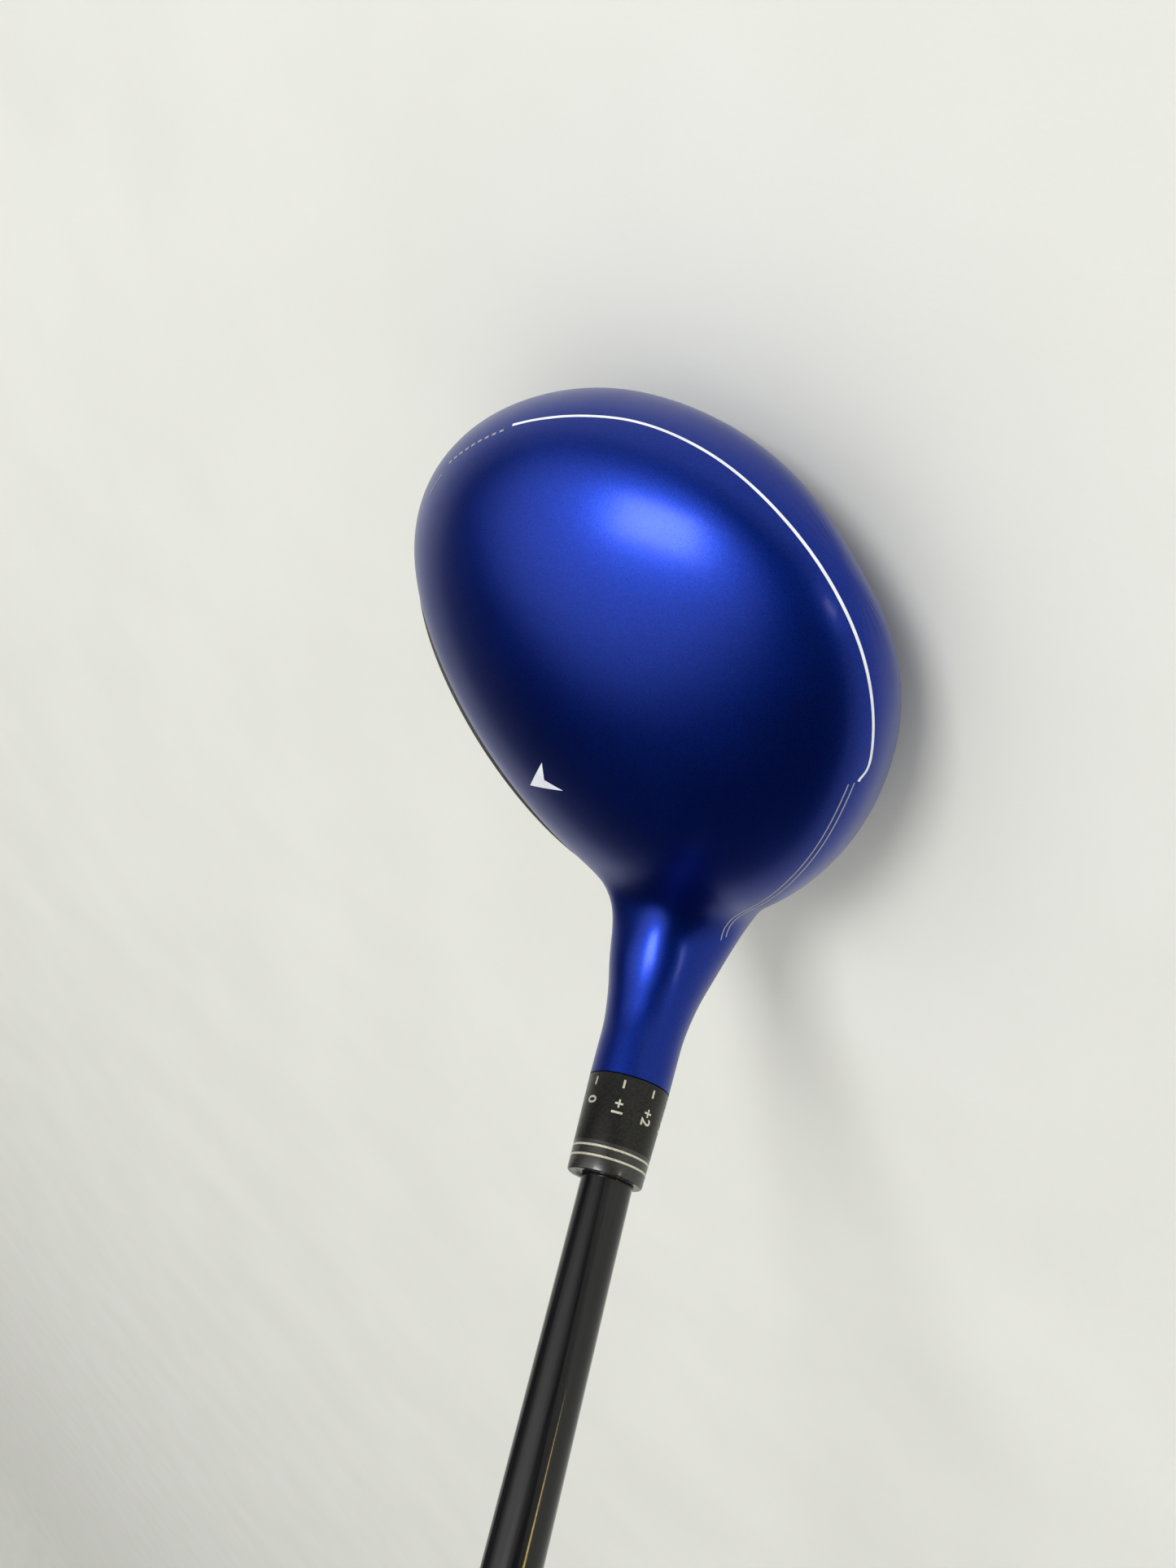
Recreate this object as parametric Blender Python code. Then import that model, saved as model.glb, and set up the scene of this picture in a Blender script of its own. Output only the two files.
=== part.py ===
"""Golf driver: hollow head, adjustable loft sleeve, graphite shaft and grip.

World frame: +Z up from the ground, -Y towards the target, -X towards the toe.
All dimensions below are millimetres; MM turns them into metres.
"""

import math

import bmesh
import bpy
from mathutils import Matrix, Vector
from mathutils.bvhtree import BVHTree

MM = 0.001

# Head: one row per cross-section, from the face to the rear edge.
# (y, toe x, heel x, crown z, sole z, z of the widest point)
SECTIONS = (
    (-37.1, -39.7, 35.1, 38.9, 4.2, 20.2),
    (-33.6, -45.0, 41.4, 41.3, 1.9, 20.2),
    (-25.0, -48.7, 46.2, 43.5, 0.2, 20.2),
    (-15.4, -50.1, 47.6, 44.7, -0.6, 20.2),
    (-4.8, -49.7, 46.9, 44.9, -0.7, 20.2),
    (6.8, -46.5, 44.0, 43.0, -0.5, 19.8),
    (17.4, -40.5, 38.8, 39.4, 0.6, 19.4),
    (27.5, -30.6, 30.5, 34.2, 3.6, 19.1),
    (34.9, -19.4, 20.7, 28.7, 8.6, 18.7),
    (38.8, -7.9, 10.1, 23.3, 14.4, 18.4),
)
REAR_TIP = Vector((1.1, 39.9, 18.3))
RING_POINTS = 24
CROWN_POWER = 2.0 / 2.25
SOLE_POWER = 2.0 / 2.7
HEEL_DROP = 0.12
SHELL = 1.0
SEAM = 0.12
SUBDIVISIONS = 1

# Face: bulge and roll radii, loft, rim depth seen from the side, plate thickness.
LOFT = math.radians(12.5)
BULGE = 300.0
ROLL = 290.0
FACE_FRONT = -37.1
FACE_MIDDLE = 21.5
FACE_RIM = 1.1
FACE_THICK = 2.9

# Hosel axis: where it meets the ground, its lie angle, and stations along it.
LIE = math.radians(58.0)
HOSEL_FOOT = Vector((23.5, -24.5, 0.0))
HOSEL_AXIS = Vector((math.cos(LIE), 0.0, math.sin(LIE)))
HOSEL_TOP = 66.0
HOSEL_RADIUS = 6.95
NECK_RINGS = ((43.5, 10.4), (48.5, 8.7), (54.0, 7.7), (60.0, 7.3), (HOSEL_TOP, 7.2))
NECK_ROUND_FROM = 54.0
TUBE_FOOT = 9.5
TUBE_OUTER = 5.85
TUBE_BORE = 5.3
SHELF_LOW = 26.0
SHELF_HIGH = 29.0

# Loft sleeve, ferrule and trim rings (stations are measured along the hosel axis).
SLEEVE_FOOT = 30.0
BARREL = 5.2
SLEEVE_SHOULDER = HOSEL_TOP + 0.15
SLEEVE_END = HOSEL_TOP + 11.4
FERRULE_END = HOSEL_TOP + 16.2
SLEEVE_TAPER = (6.95 - 6.38) / 16.0
RING_STATIONS = (("trim_ring_lower", 78.0), ("trim_ring_upper", 79.6))
RING_WIDTH = 0.55
RING_DEPTH = 0.45
SPLINES = 12

# Shaft: its axis leans one degree off the sleeve, about the middle of the bore.
SHAFT_PIVOT = 52.0
SHAFT_LEAN = math.radians(1.0)
SHAFT_TIP = 38.5
SHAFT_BUTT = 1092.0
TIP_RADIUS = 4.35
BUTT_RADIUS = 7.6
PARALLEL_TO = 95.0
GRIP_LENGTH = 267.0

# Rear sole weight.
WEIGHT_FOOT = Vector((-1.5, 17.0, 1.8))
WEIGHT_LEAN = math.radians(9.6)
WEIGHT_AXIS = Vector((0.0, -math.sin(WEIGHT_LEAN), math.cos(WEIGHT_LEAN)))
WEIGHT_RADIUS = 8.0
BOSS_RADIUS = 10.0
WEIGHT_FACE = 0.15

CENTRE = Vector((0.0, 0.0, 0.0))
UP = Vector((0.0, 0.0, 1.0))


def clear_scene():
    for item in list(bpy.data.objects):
        bpy.data.objects.remove(item, do_unlink=True)


def paint(name, colour, metallic, roughness):
    material = bpy.data.materials.new(name)
    material.use_nodes = True
    shader = material.node_tree.nodes["Principled BSDF"]
    shader.inputs["Base Color"].default_value = (*colour, 1.0)
    shader.inputs["Metallic"].default_value = metallic
    shader.inputs["Roughness"].default_value = roughness
    material.diffuse_color = (*colour, 1.0)
    return material


def finish(name, bm, material, origin=CENTRE, smooth=True):
    """Turn a millimetre bmesh into an object whose origin sits at the given point."""
    bmesh.ops.recalc_face_normals(bm, faces=bm.faces)
    for vert in bm.verts:
        vert.co = (vert.co - origin) * MM
    mesh = bpy.data.meshes.new(name)
    bm.to_mesh(mesh)
    bm.free()
    obj = bpy.data.objects.new(name, mesh)
    obj.location = origin * MM
    bpy.context.scene.collection.objects.link(obj)
    if material:
        mesh.materials.append(material)
    for face in mesh.polygons:
        face.use_smooth = smooth
    mesh.set_sharp_from_angle(angle=math.radians(35.0))
    return obj


def axis_frame(axis):
    """Two directions square to an axis; the first stays in the X-Z plane."""
    side = Vector((0.0, 1.0, 0.0)).cross(axis)
    if side.length < 0.1:
        side = Vector((1.0, 0.0, 0.0))
    side.normalize()
    return side, axis.cross(side)


def revolve(profile, foot, axis, segments=40, closed=True):
    """Spin (radius, station) pairs about an axis; an open profile starts and ends on it."""
    side, across = axis_frame(axis)
    bm = bmesh.new()
    rings = []
    for radius, station in profile:
        middle = foot + axis * station
        if radius == 0.0:
            rings.append([bm.verts.new(middle)])
            continue
        ring = []
        for i in range(segments):
            turn = 2.0 * math.pi * i / segments
            spoke = side * math.cos(turn) + across * math.sin(turn)
            ring.append(bm.verts.new(middle + spoke * radius))
        rings.append(ring)
    pairs = list(zip(rings, rings[1:]))
    if closed:
        pairs.append((rings[-1], rings[0]))
    for low, high in pairs:
        for i in range(segments):
            j = (i + 1) % segments
            if len(low) == 1:
                bm.faces.new((low[0], high[j], high[i]))
            elif len(high) == 1:
                bm.faces.new((low[i], low[j], high[0]))
            else:
                bm.faces.new((low[i], low[j], high[j], high[i]))
    return bm


def cut(target, cutter):
    """Take one hidden solid away from another."""
    cutter.hide_render = True
    cutter.display_type = "WIRE"
    modifier = target.modifiers.new("Cut_" + cutter.name, "BOOLEAN")
    modifier.operation = "DIFFERENCE"
    modifier.solver = "EXACT"
    modifier.object = cutter


def face_y(x, z):
    """Front surface of the face: bulge heel to toe, roll top to bottom, plus loft."""
    rise = z - FACE_MIDDLE
    bulge = x * x / (2.0 * BULGE)
    roll = rise * rise / (2.0 * ROLL)
    return FACE_FRONT + rise * math.tan(LOFT) + bulge + roll


def section_point(section, index):
    """One corner of the control cage on a cross-section ring."""
    y, toe, heel, crown, sole, edge = section
    turn = 2.0 * math.pi * index / RING_POINTS
    across = math.cos(turn)
    up = math.sin(turn)
    power = CROWN_POWER if up > 0.0 else SOLE_POWER
    half = (heel - toe) / 2.0
    x = (heel + toe) / 2.0 + half * math.copysign(abs(across) ** power, across)
    height = crown - edge if up > 0.0 else edge - sole
    if up > 0.0 and across > 0.0:
        height *= 1.0 - HEEL_DROP * across
    z = edge + height * math.copysign(abs(up) ** power, up)
    back = (y - FACE_FRONT) / (REAR_TIP.y - FACE_FRONT)
    y += (face_y(x, z) - FACE_FRONT) * (1.0 - back) ** 2
    return Vector((x, y, z))


def head_cage():
    """Control cage of the whole outer skin; crown faces carry material index 1."""
    bm = bmesh.new()
    rings = []
    for section in SECTIONS:
        points = [section_point(section, i) for i in range(RING_POINTS)]
        rings.append([bm.verts.new(point) for point in points])
    hosel_patch = {(j, i % RING_POINTS) for j in (1, 2) for i in (-1, 0, 1, 2)}
    for j in range(len(rings) - 1):
        for i in range(RING_POINTS):
            if (j, i) in hosel_patch:
                continue
            k = (i + 1) % RING_POINTS
            quad = (rings[j][i], rings[j][k], rings[j + 1][k], rings[j + 1][i])
            face = bm.faces.new(quad)
            first = 3 if j < 3 else 1
            face.material_index = 1 if first <= i < 11 else 0
    pole = bm.verts.new(REAR_TIP)
    for i in range(RING_POINTS):
        k = (i + 1) % RING_POINTS
        face = bm.faces.new((rings[-1][i], rings[-1][k], pole))
        face.material_index = 1 if 1 <= i < 11 else 0
    loop = [rings[1][i] for i in (-1, 0, 1, 2, 3)] + [rings[2][3]]
    loop += [rings[3][i] for i in (3, 2, 1, 0, -1)] + [rings[2][-1]]
    bm.verts.remove(rings[2][0])
    bm.verts.remove(rings[2][1])
    bm.verts.remove(rings[2][2])
    add_neck(bm, loop)
    return bm


def add_neck(bm, loop):
    """Carry the open patch in the heel up the hosel axis as rings of the same count."""
    side, across = axis_frame(HOSEL_AXIS)
    turns = []
    for vert in loop:
        offset = vert.co - HOSEL_FOOT
        turns.append(math.atan2(offset.dot(across), offset.dot(side)))
    step = 2.0 * math.pi / len(loop)
    if math.sin(turns[1] - turns[0]) < 0.0:
        step = -step
    drift_x = sum(math.cos(turn - k * step) for k, turn in enumerate(turns))
    drift_y = sum(math.sin(turn - k * step) for k, turn in enumerate(turns))
    start = math.atan2(drift_y, drift_x)
    previous = loop
    for station, radius in NECK_RINGS:
        middle = HOSEL_FOOT + HOSEL_AXIS * station
        ring = []
        for k in range(len(loop)):
            turn = start + k * step
            spoke = side * math.cos(turn) + across * math.sin(turn)
            ring.append(bm.verts.new(middle + spoke * radius))
        for k in range(len(loop)):
            n = (k + 1) % len(loop)
            bm.faces.new((previous[k], previous[n], ring[n], ring[k]))
        previous = ring


def head_skin(levels):
    """The smooth outer skin as a bmesh, with a flat pad on the sole and a round neck."""
    cage = head_cage()
    bmesh.ops.recalc_face_normals(cage, faces=cage.faces)
    mesh = bpy.data.meshes.new("cage")
    cage.to_mesh(mesh)
    cage.free()
    holder = bpy.data.objects.new("cage", mesh)
    bpy.context.scene.collection.objects.link(holder)
    smoother = holder.modifiers.new("Smooth", "SUBSURF")
    smoother.levels = levels
    smoother.render_levels = levels
    graph = bpy.context.evaluated_depsgraph_get()
    skin = bmesh.new()
    skin.from_mesh(holder.evaluated_get(graph).to_mesh())
    bpy.data.objects.remove(holder, do_unlink=True)
    for vert in skin.verts:
        vert.co.z = max(vert.co.z, 0.0)
        offset = vert.co - HOSEL_FOOT
        station = offset.dot(HOSEL_AXIS)
        spoke = offset - HOSEL_AXIS * station
        if station > NECK_ROUND_FROM:
            target = HOSEL_RADIUS + 0.012 * (HOSEL_TOP - station)
            blend = min((station - NECK_ROUND_FROM) / 4.0, 1.0)
            length = spoke.length + (target - spoke.length) * blend
            vert.co = HOSEL_FOOT + HOSEL_AXIS * station + spoke.normalized() * length
    skin.normal_update()
    return skin


def shell_piece(skin, index):
    """One shell of the head: the skin's faces with one material index, made solid inwards."""
    faces = [face for face in skin.faces if face.material_index == index]
    chosen = set(faces)
    edges = {edge for face in faces for edge in face.edges}
    rims = [e for e in edges if sum(f in chosen for f in e.link_faces) == 1]
    rim_verts = {vert for edge in rims for vert in edge.verts}
    rims_set = set(rims)
    kept = bmesh.new()
    outer = {}
    inner = {}
    for vert in sorted({v for face in faces for v in face.verts}, key=lambda v: v.index):
        place = vert.co.copy()
        if vert in rim_verts:
            away = Vector()
            for edge in vert.link_edges:
                if edge in edges and edge not in rims_set:
                    away += (edge.other_vert(vert).co - vert.co).normalized()
            if away.length > 0.0:
                place += away.normalized() * (SEAM / 2.0)
        outer[vert] = kept.verts.new(place)
        inner[vert] = kept.verts.new(place - vert.normal * SHELL)
    for face in faces:
        kept.faces.new([outer[vert] for vert in face.verts])
        kept.faces.new([inner[vert] for vert in reversed(face.verts)])
    for edge in sorted(rims, key=lambda e: e.index):
        a, b = edge.verts
        kept.faces.new((outer[a], outer[b], inner[b], inner[a]))
    return kept


def ordered_rim(skin):
    """The skin's open edge round the face, as positions and normals in order."""
    edges = [e for e in skin.edges if e.is_boundary and e.verts[0].co.y < -25.0]
    edges = [e for e in edges if all(v.co.z < 44.0 and v.co.x < 45.0 for v in e.verts)]
    links = {}
    for edge in edges:
        a, b = edge.verts
        links.setdefault(a, []).append(b)
        links.setdefault(b, []).append(a)
    start = min(links, key=lambda vert: vert.co.x)
    order = [start]
    step = links[start][0]
    while step is not start:
        order.append(step)
        forward = [v for v in links[step] if v is not order[-2]]
        step = forward[0]
    return [(vert.co.copy(), vert.normal.copy()) for vert in order]


def face_plate(rim):
    """Plate with a rim flush with the shells and a spigot that drops inside them."""
    middle = Vector((-3.5, 0.0, FACE_MIDDLE))
    bm = bmesh.new()

    def loop(inset, back, surface):
        ring = []
        for place, normal in rim:
            inwards = Vector((normal.x, 0.0, normal.z)).normalized()
            point = place - inwards * inset
            level = face_y(point.x, point.z) if surface else point.y
            ring.append(bm.verts.new(Vector((point.x, level + back, point.z))))
        return ring

    def scaled(factor, back):
        ring = []
        for place, normal in rim:
            inwards = Vector((normal.x, 0.0, normal.z)).normalized()
            point = middle + (place - inwards * (SHELL + 0.3) - middle) * factor
            y = face_y(point.x, point.z) + back
            ring.append(bm.verts.new(Vector((point.x, y, point.z))))
        return ring

    rows = [scaled(0.3, -FACE_RIM), scaled(0.65, -FACE_RIM), loop(1.3, -FACE_RIM, True)]
    rows.append(loop(0.35, -FACE_RIM, True))
    rows.append(loop(0.0, -FACE_RIM + 0.35, True))
    rows.append(loop(0.0, -SEAM, False))
    rows.append(loop(SHELL + 0.25, -SEAM, False))
    spigot = FACE_THICK - FACE_RIM
    rows.append(loop(SHELL + 0.35, spigot, True))
    rows.append(scaled(0.65, spigot))
    rows.append(scaled(0.3, spigot))
    count = len(rim)
    for first, second in zip(rows, rows[1:]):
        for i in range(count):
            j = (i + 1) % count
            bm.faces.new((first[i], first[j], second[j], second[i]))
    for row, back in ((rows[0], -FACE_RIM), (rows[-1], spigot)):
        tip = bm.verts.new(Vector((middle.x, face_y(middle.x, middle.z) + back, middle.z)))
        for i in range(count):
            bm.faces.new((row[i], row[(i + 1) % count], tip))
    return bm


def sole_rib(floor, x, y_from, y_to, height, steps=12):
    """Thin upright web that follows the inside of the sole."""
    bm = bmesh.new()
    half = 0.6
    rows = []
    for k in range(steps + 1):
        y = y_from + (y_to - y_from) * k / steps
        seats = []
        for dx in (-half, half):
            for dy in (-1.5, 0.0, 1.5):
                hit = floor.ray_cast(Vector((x + dx, y + dy, 15.0)), -UP)[0]
                seats.append(hit.z)
        seat = max(seats) + 0.15
        top = seat + height * max(math.sin(math.pi * (k + 0.6) / (steps + 1.2)), 0.25)
        corners = ((-half, seat), (half, seat), (half, top), (-half, top))
        rows.append([bm.verts.new(Vector((x + dx, y, z))) for dx, z in corners])
    for low, high in zip(rows, rows[1:]):
        for i in range(4):
            j = (i + 1) % 4
            bm.faces.new((low[i], low[j], high[j], high[i]))
    bm.faces.new(rows[0])
    bm.faces.new(rows[-1])
    return bm


def hex_socket(foot, axis, across_flats, low, high):
    """Six-sided cutter for a driver socket."""
    radius = across_flats / math.sqrt(3.0)
    profile = ((0.0, low), (radius, low), (radius, high), (0.0, high))
    bm = revolve(profile, foot, axis, segments=6, closed=False)
    return finish("socket_cutter", bm, None, smooth=False)


clear_scene()

blue_paint = paint("blue_paint", (0.012, 0.03, 0.30), 0.6, 0.32)
face_metal = paint("face_metal", (0.40, 0.39, 0.36), 1.0, 0.40)
tube_metal = paint("tube_metal", (0.42, 0.41, 0.40), 1.0, 0.45)
weight_metal = paint("weight_metal", (0.30, 0.30, 0.31), 1.0, 0.35)
screw_metal = paint("screw_metal", (0.20, 0.20, 0.21), 1.0, 0.35)
black_anodised = paint("black_anodised", (0.018, 0.018, 0.018), 0.5, 0.38)
black_plastic = paint("black_plastic", (0.012, 0.012, 0.012), 0.0, 0.30)
champagne = paint("champagne_metal", (0.55, 0.51, 0.40), 1.0, 0.35)
shaft_black = paint("shaft_black", (0.006, 0.006, 0.007), 0.0, 0.08)
rubber_black = paint("grip_rubber", (0.015, 0.015, 0.015), 0.0, 0.75)
tape_white = paint("tape_white", (0.75, 0.74, 0.70), 0.0, 0.60)

# Head shells: both come from one skin, so their outer faces run on without a step.
skin = head_skin(SUBDIVISIONS)
crown = finish("crown_shell", shell_piece(skin, 1), blue_paint)
body = shell_piece(skin, 0)
floor = BVHTree.FromBMesh(body)
body_obj = finish("body_shell", body, blue_paint)
rim = ordered_rim(skin)
finish("face_plate", face_plate(rim), face_metal)
skin.free()

port = revolve(
    ((0.0, -6.0), (BOSS_RADIUS + 0.15, -6.0), (BOSS_RADIUS + 0.15, 8.0), (0.0, 8.0)),
    WEIGHT_FOOT,
    WEIGHT_AXIS,
    closed=False,
)
cut(body_obj, finish("weight_port_cutter", port, None))
wrench_port = revolve(
    ((0.0, -8.0), (TUBE_OUTER + 0.15, -8.0), (TUBE_OUTER + 0.15, 16.0), (0.0, 16.0)),
    HOSEL_FOOT,
    HOSEL_AXIS,
    closed=False,
)
cut(body_obj, finish("wrench_port_cutter", wrench_port, None))

# Ribs on the inside of the sole, front to back.
for name, x, y_from, y_to in (
    ("sole_rib_toe", -24.0, -22.0, 12.0),
    ("sole_rib_mid", -4.0, -26.0, 3.0),
    ("sole_rib_heel", 13.0, -22.0, 10.0),
):
    finish(name, sole_rib(floor, x, y_from, y_to, 3.2), tube_metal, smooth=False)

# Tube inside the neck: bore for the sleeve above the shelf, room for the screw below it.
tube = (
    (TUBE_OUTER, TUBE_FOOT),
    (TUBE_OUTER, HOSEL_TOP - 0.1),
    (TUBE_BORE, HOSEL_TOP - 0.1),
    (TUBE_BORE, SHELF_HIGH),
    (2.9, SHELF_HIGH),
    (2.9, SHELF_LOW),
    (TUBE_BORE - 0.2, SHELF_LOW),
    (TUBE_BORE - 0.2, TUBE_FOOT),
)
finish("hosel_tube", revolve(tube, HOSEL_FOOT, HOSEL_AXIS), tube_metal)

# Screw that draws the sleeve down, and the washer under its head.
washer = ((2.6, 25.1), (4.7, 25.1), (4.7, 25.85), (2.6, 25.85))
origin = HOSEL_FOOT + HOSEL_AXIS * 25.5
washer_bm = revolve(washer, HOSEL_FOOT, HOSEL_AXIS, 32)
finish("screw_washer", washer_bm, tube_metal, origin)
screw = ((0.0, 20.6), (3.6, 20.6), (4.0, 21.0), (4.0, 24.95), (2.4, 24.95))
screw += ((2.4, 36.2), (1.9, 36.8), (0.0, 36.8))
screw_bm = revolve(screw, HOSEL_FOOT, HOSEL_AXIS, 32, closed=False)
sleeve_screw = finish("sleeve_screw", screw_bm, screw_metal, origin)
cut(sleeve_screw, hex_socket(HOSEL_FOOT, HOSEL_AXIS, 4.0, 19.0, 23.6))

# Sleeve: splined barrel in the head, wider black collar above it.
def collar_radius(station):
    return HOSEL_RADIUS - SLEEVE_TAPER * (station - HOSEL_TOP)


sleeve = (
    (2.6, SLEEVE_FOOT),
    (BARREL - 0.5, SLEEVE_FOOT),
    (BARREL, SLEEVE_FOOT + 0.5),
    (BARREL, SLEEVE_SHOULDER),
    (collar_radius(SLEEVE_SHOULDER) - 0.1, SLEEVE_SHOULDER),
    (collar_radius(SLEEVE_SHOULDER), SLEEVE_SHOULDER + 0.15),
    (collar_radius(SLEEVE_END), SLEEVE_END),
    (2.6, SLEEVE_END),
)
sleeve_bm = revolve(sleeve, HOSEL_FOOT, HOSEL_AXIS, 48)
loft_sleeve = finish("loft_sleeve", sleeve_bm, black_anodised)

side, across = axis_frame(HOSEL_AXIS)
lean_to = (side * 0.8 + Vector((0.0, 1.0, 0.0)) * 0.6).normalized()
shaft_axis = (HOSEL_AXIS * math.cos(SHAFT_LEAN) + lean_to * math.sin(SHAFT_LEAN)).normalized()
pivot = HOSEL_FOOT + HOSEL_AXIS * SHAFT_PIVOT
shaft_foot = pivot - shaft_axis * SHAFT_PIVOT

bore = ((0.0, SHAFT_TIP - 0.3), (TIP_RADIUS + 0.1, SHAFT_TIP - 0.3))
bore += ((TIP_RADIUS + 0.1, 90.0), (0.0, 90.0))
bore_cutter = finish("bore_cutter", revolve(bore, shaft_foot, shaft_axis, 40, closed=False), None)
cut(loft_sleeve, bore_cutter)
splines = bmesh.new()
for i in range(SPLINES):
    turn = 2.0 * math.pi * (i + 0.5) / SPLINES
    spoke = side * math.cos(turn) + across * math.sin(turn)
    place = Matrix.Translation(HOSEL_FOOT + HOSEL_AXIS * (SLEEVE_FOOT + 1.5) + spoke * BARREL)
    turned = Matrix((spoke, HOSEL_AXIS.cross(spoke), HOSEL_AXIS)).transposed().to_4x4()
    size = Matrix.Diagonal((0.9, 1.1, 7.0, 1.0))
    bmesh.ops.create_cube(splines, size=1.0, matrix=place @ turned @ size)
cut(loft_sleeve, finish("spline_cutter", splines, None, smooth=False))

# Ferrule with two grooves, and the thin metal ring in each groove.
ferrule = [(2.6, SLEEVE_END + 0.05), (collar_radius(SLEEVE_END), SLEEVE_END + 0.05)]
for name, station in RING_STATIONS:
    low = station - 0.03
    high = station + RING_WIDTH + 0.03
    ferrule += [(collar_radius(low), low), (collar_radius(low) - RING_DEPTH - 0.04, low)]
    ferrule += [(collar_radius(high) - RING_DEPTH - 0.04, high), (collar_radius(high), high)]
ferrule += [(collar_radius(FERRULE_END - 0.5), FERRULE_END - 0.5)]
ferrule += [(collar_radius(FERRULE_END) - 0.5, FERRULE_END), (2.6, FERRULE_END)]
ferrule_obj = finish("ferrule", revolve(ferrule, HOSEL_FOOT, HOSEL_AXIS, 48), black_plastic)
cut(ferrule_obj, bore_cutter)
for name, station in RING_STATIONS:
    outer = collar_radius(station + RING_WIDTH / 2.0)
    inner = outer - RING_DEPTH
    band = (
        (inner, station),
        (outer, station),
        (outer, station + RING_WIDTH),
        (inner, station + RING_WIDTH),
    )
    ring_origin = HOSEL_FOOT + HOSEL_AXIS * station
    finish(name, revolve(band, HOSEL_FOOT, HOSEL_AXIS, 48), champagne, ring_origin)

# Shaft: parallel tip, straight taper, parallel butt under the grip; open at both ends.
grip_from = SHAFT_BUTT - GRIP_LENGTH
shaft = (
    (TIP_RADIUS - 1.4, SHAFT_TIP),
    (TIP_RADIUS, SHAFT_TIP),
    (TIP_RADIUS, PARALLEL_TO),
    (BUTT_RADIUS - 0.6, grip_from),
    (BUTT_RADIUS, SHAFT_BUTT),
    (BUTT_RADIUS - 1.0, SHAFT_BUTT),
    (BUTT_RADIUS - 1.6, grip_from),
    (TIP_RADIUS - 1.4, PARALLEL_TO),
)
finish("shaft", revolve(shaft, shaft_foot, shaft_axis, 40), shaft_black)
plug = ((0.0, 39.5), (2.85, 39.5), (2.85, 52.0), (2.3, 52.5), (0.0, 52.5))
finish("tip_plug", revolve(plug, shaft_foot, shaft_axis, 24, closed=False), weight_metal)

# Grip: tape on the shaft, tapered rubber sleeve over it, vented cap at the butt.
slope = 0.6 / GRIP_LENGTH


def under_grip(station):
    return BUTT_RADIUS - slope * (SHAFT_BUTT - station)


tape_low = grip_from + 6.0
tape_high = SHAFT_BUTT - 0.5
tape = (
    (under_grip(tape_low) + 0.05, tape_low),
    (under_grip(tape_low) + 0.25, tape_low),
    (under_grip(tape_high) + 0.25, tape_high),
    (under_grip(tape_high) + 0.05, tape_high),
)
finish("grip_tape", revolve(tape, shaft_foot, shaft_axis, 40), tape_white)
grip_high = SHAFT_BUTT + 0.2
grip = (
    (under_grip(grip_from) + 0.3, grip_from),
    (9.0, grip_from),
    (9.4, grip_from + 1.5),
    (10.6, grip_from + 120.0),
    (12.9, grip_high),
    (under_grip(grip_high) + 0.3, grip_high),
)
finish("grip", revolve(grip, shaft_foot, shaft_axis, 40), rubber_black)
cap = (
    (1.6, SHAFT_BUTT + 0.3),
    (12.9, SHAFT_BUTT + 0.3),
    (13.3, SHAFT_BUTT + 1.2),
    (13.1, SHAFT_BUTT + 3.4),
    (11.9, SHAFT_BUTT + 4.5),
    (1.6, SHAFT_BUTT + 4.5),
)
finish("grip_cap", revolve(cap, shaft_foot, shaft_axis, 40), rubber_black)

# Rear weight: cup in the sole, slug in the cup, screw through the slug.
boss = (
    (BOSS_RADIUS, WEIGHT_FACE - 0.3),
    (BOSS_RADIUS, WEIGHT_FACE + 6.6),
    (5.2, WEIGHT_FACE + 6.6),
    (4.2, WEIGHT_FACE + 11.0),
    (2.15, WEIGHT_FACE + 11.0),
    (2.15, WEIGHT_FACE + 4.9),
    (WEIGHT_RADIUS + 0.15, WEIGHT_FACE + 4.9),
    (WEIGHT_RADIUS + 0.15, WEIGHT_FACE - 0.3),
)
finish("weight_boss", revolve(boss, WEIGHT_FOOT, WEIGHT_AXIS), tube_metal)
slug = (
    (2.3, WEIGHT_FACE + 4.7),
    (WEIGHT_RADIUS, WEIGHT_FACE + 4.7),
    (WEIGHT_RADIUS, WEIGHT_FACE + 0.5),
    (WEIGHT_RADIUS - 0.5, WEIGHT_FACE),
    (4.1, WEIGHT_FACE),
    (4.1, WEIGHT_FACE + 3.2),
    (2.3, WEIGHT_FACE + 3.2),
)
weight_origin = WEIGHT_FOOT + WEIGHT_AXIS * (WEIGHT_FACE + 2.0)
finish("sole_weight", revolve(slug, WEIGHT_FOOT, WEIGHT_AXIS), weight_metal, weight_origin)
bolt = (
    (0.0, WEIGHT_FACE + 0.4),
    (3.5, WEIGHT_FACE + 0.4),
    (3.9, WEIGHT_FACE + 0.8),
    (3.9, WEIGHT_FACE + 3.1),
    (1.95, WEIGHT_FACE + 3.1),
    (1.95, WEIGHT_FACE + 9.6),
    (1.5, WEIGHT_FACE + 10.0),
    (0.0, WEIGHT_FACE + 10.0),
)
bolt_bm = revolve(bolt, WEIGHT_FOOT, WEIGHT_AXIS, 32, closed=False)
weight_screw = finish("weight_screw", bolt_bm, screw_metal, weight_origin)
cut(weight_screw, hex_socket(WEIGHT_FOOT, WEIGHT_AXIS, 4.0, WEIGHT_FACE - 1.0, WEIGHT_FACE + 2.2))
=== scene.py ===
"""Golf driver: painted hollow head, adjustable loft sleeve, graphite shaft and rubber grip.

Sizes are in millimetres and become metres through MM. +Z is up, -Y is the target side,
-X the toe. Stations are distances along the hosel axis from where it meets the ground.
"""

import math

import bmesh
import bpy
from mathutils import Euler, Matrix, Vector
from mathutils.bvhtree import BVHTree
from mathutils.kdtree import KDTree


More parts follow.
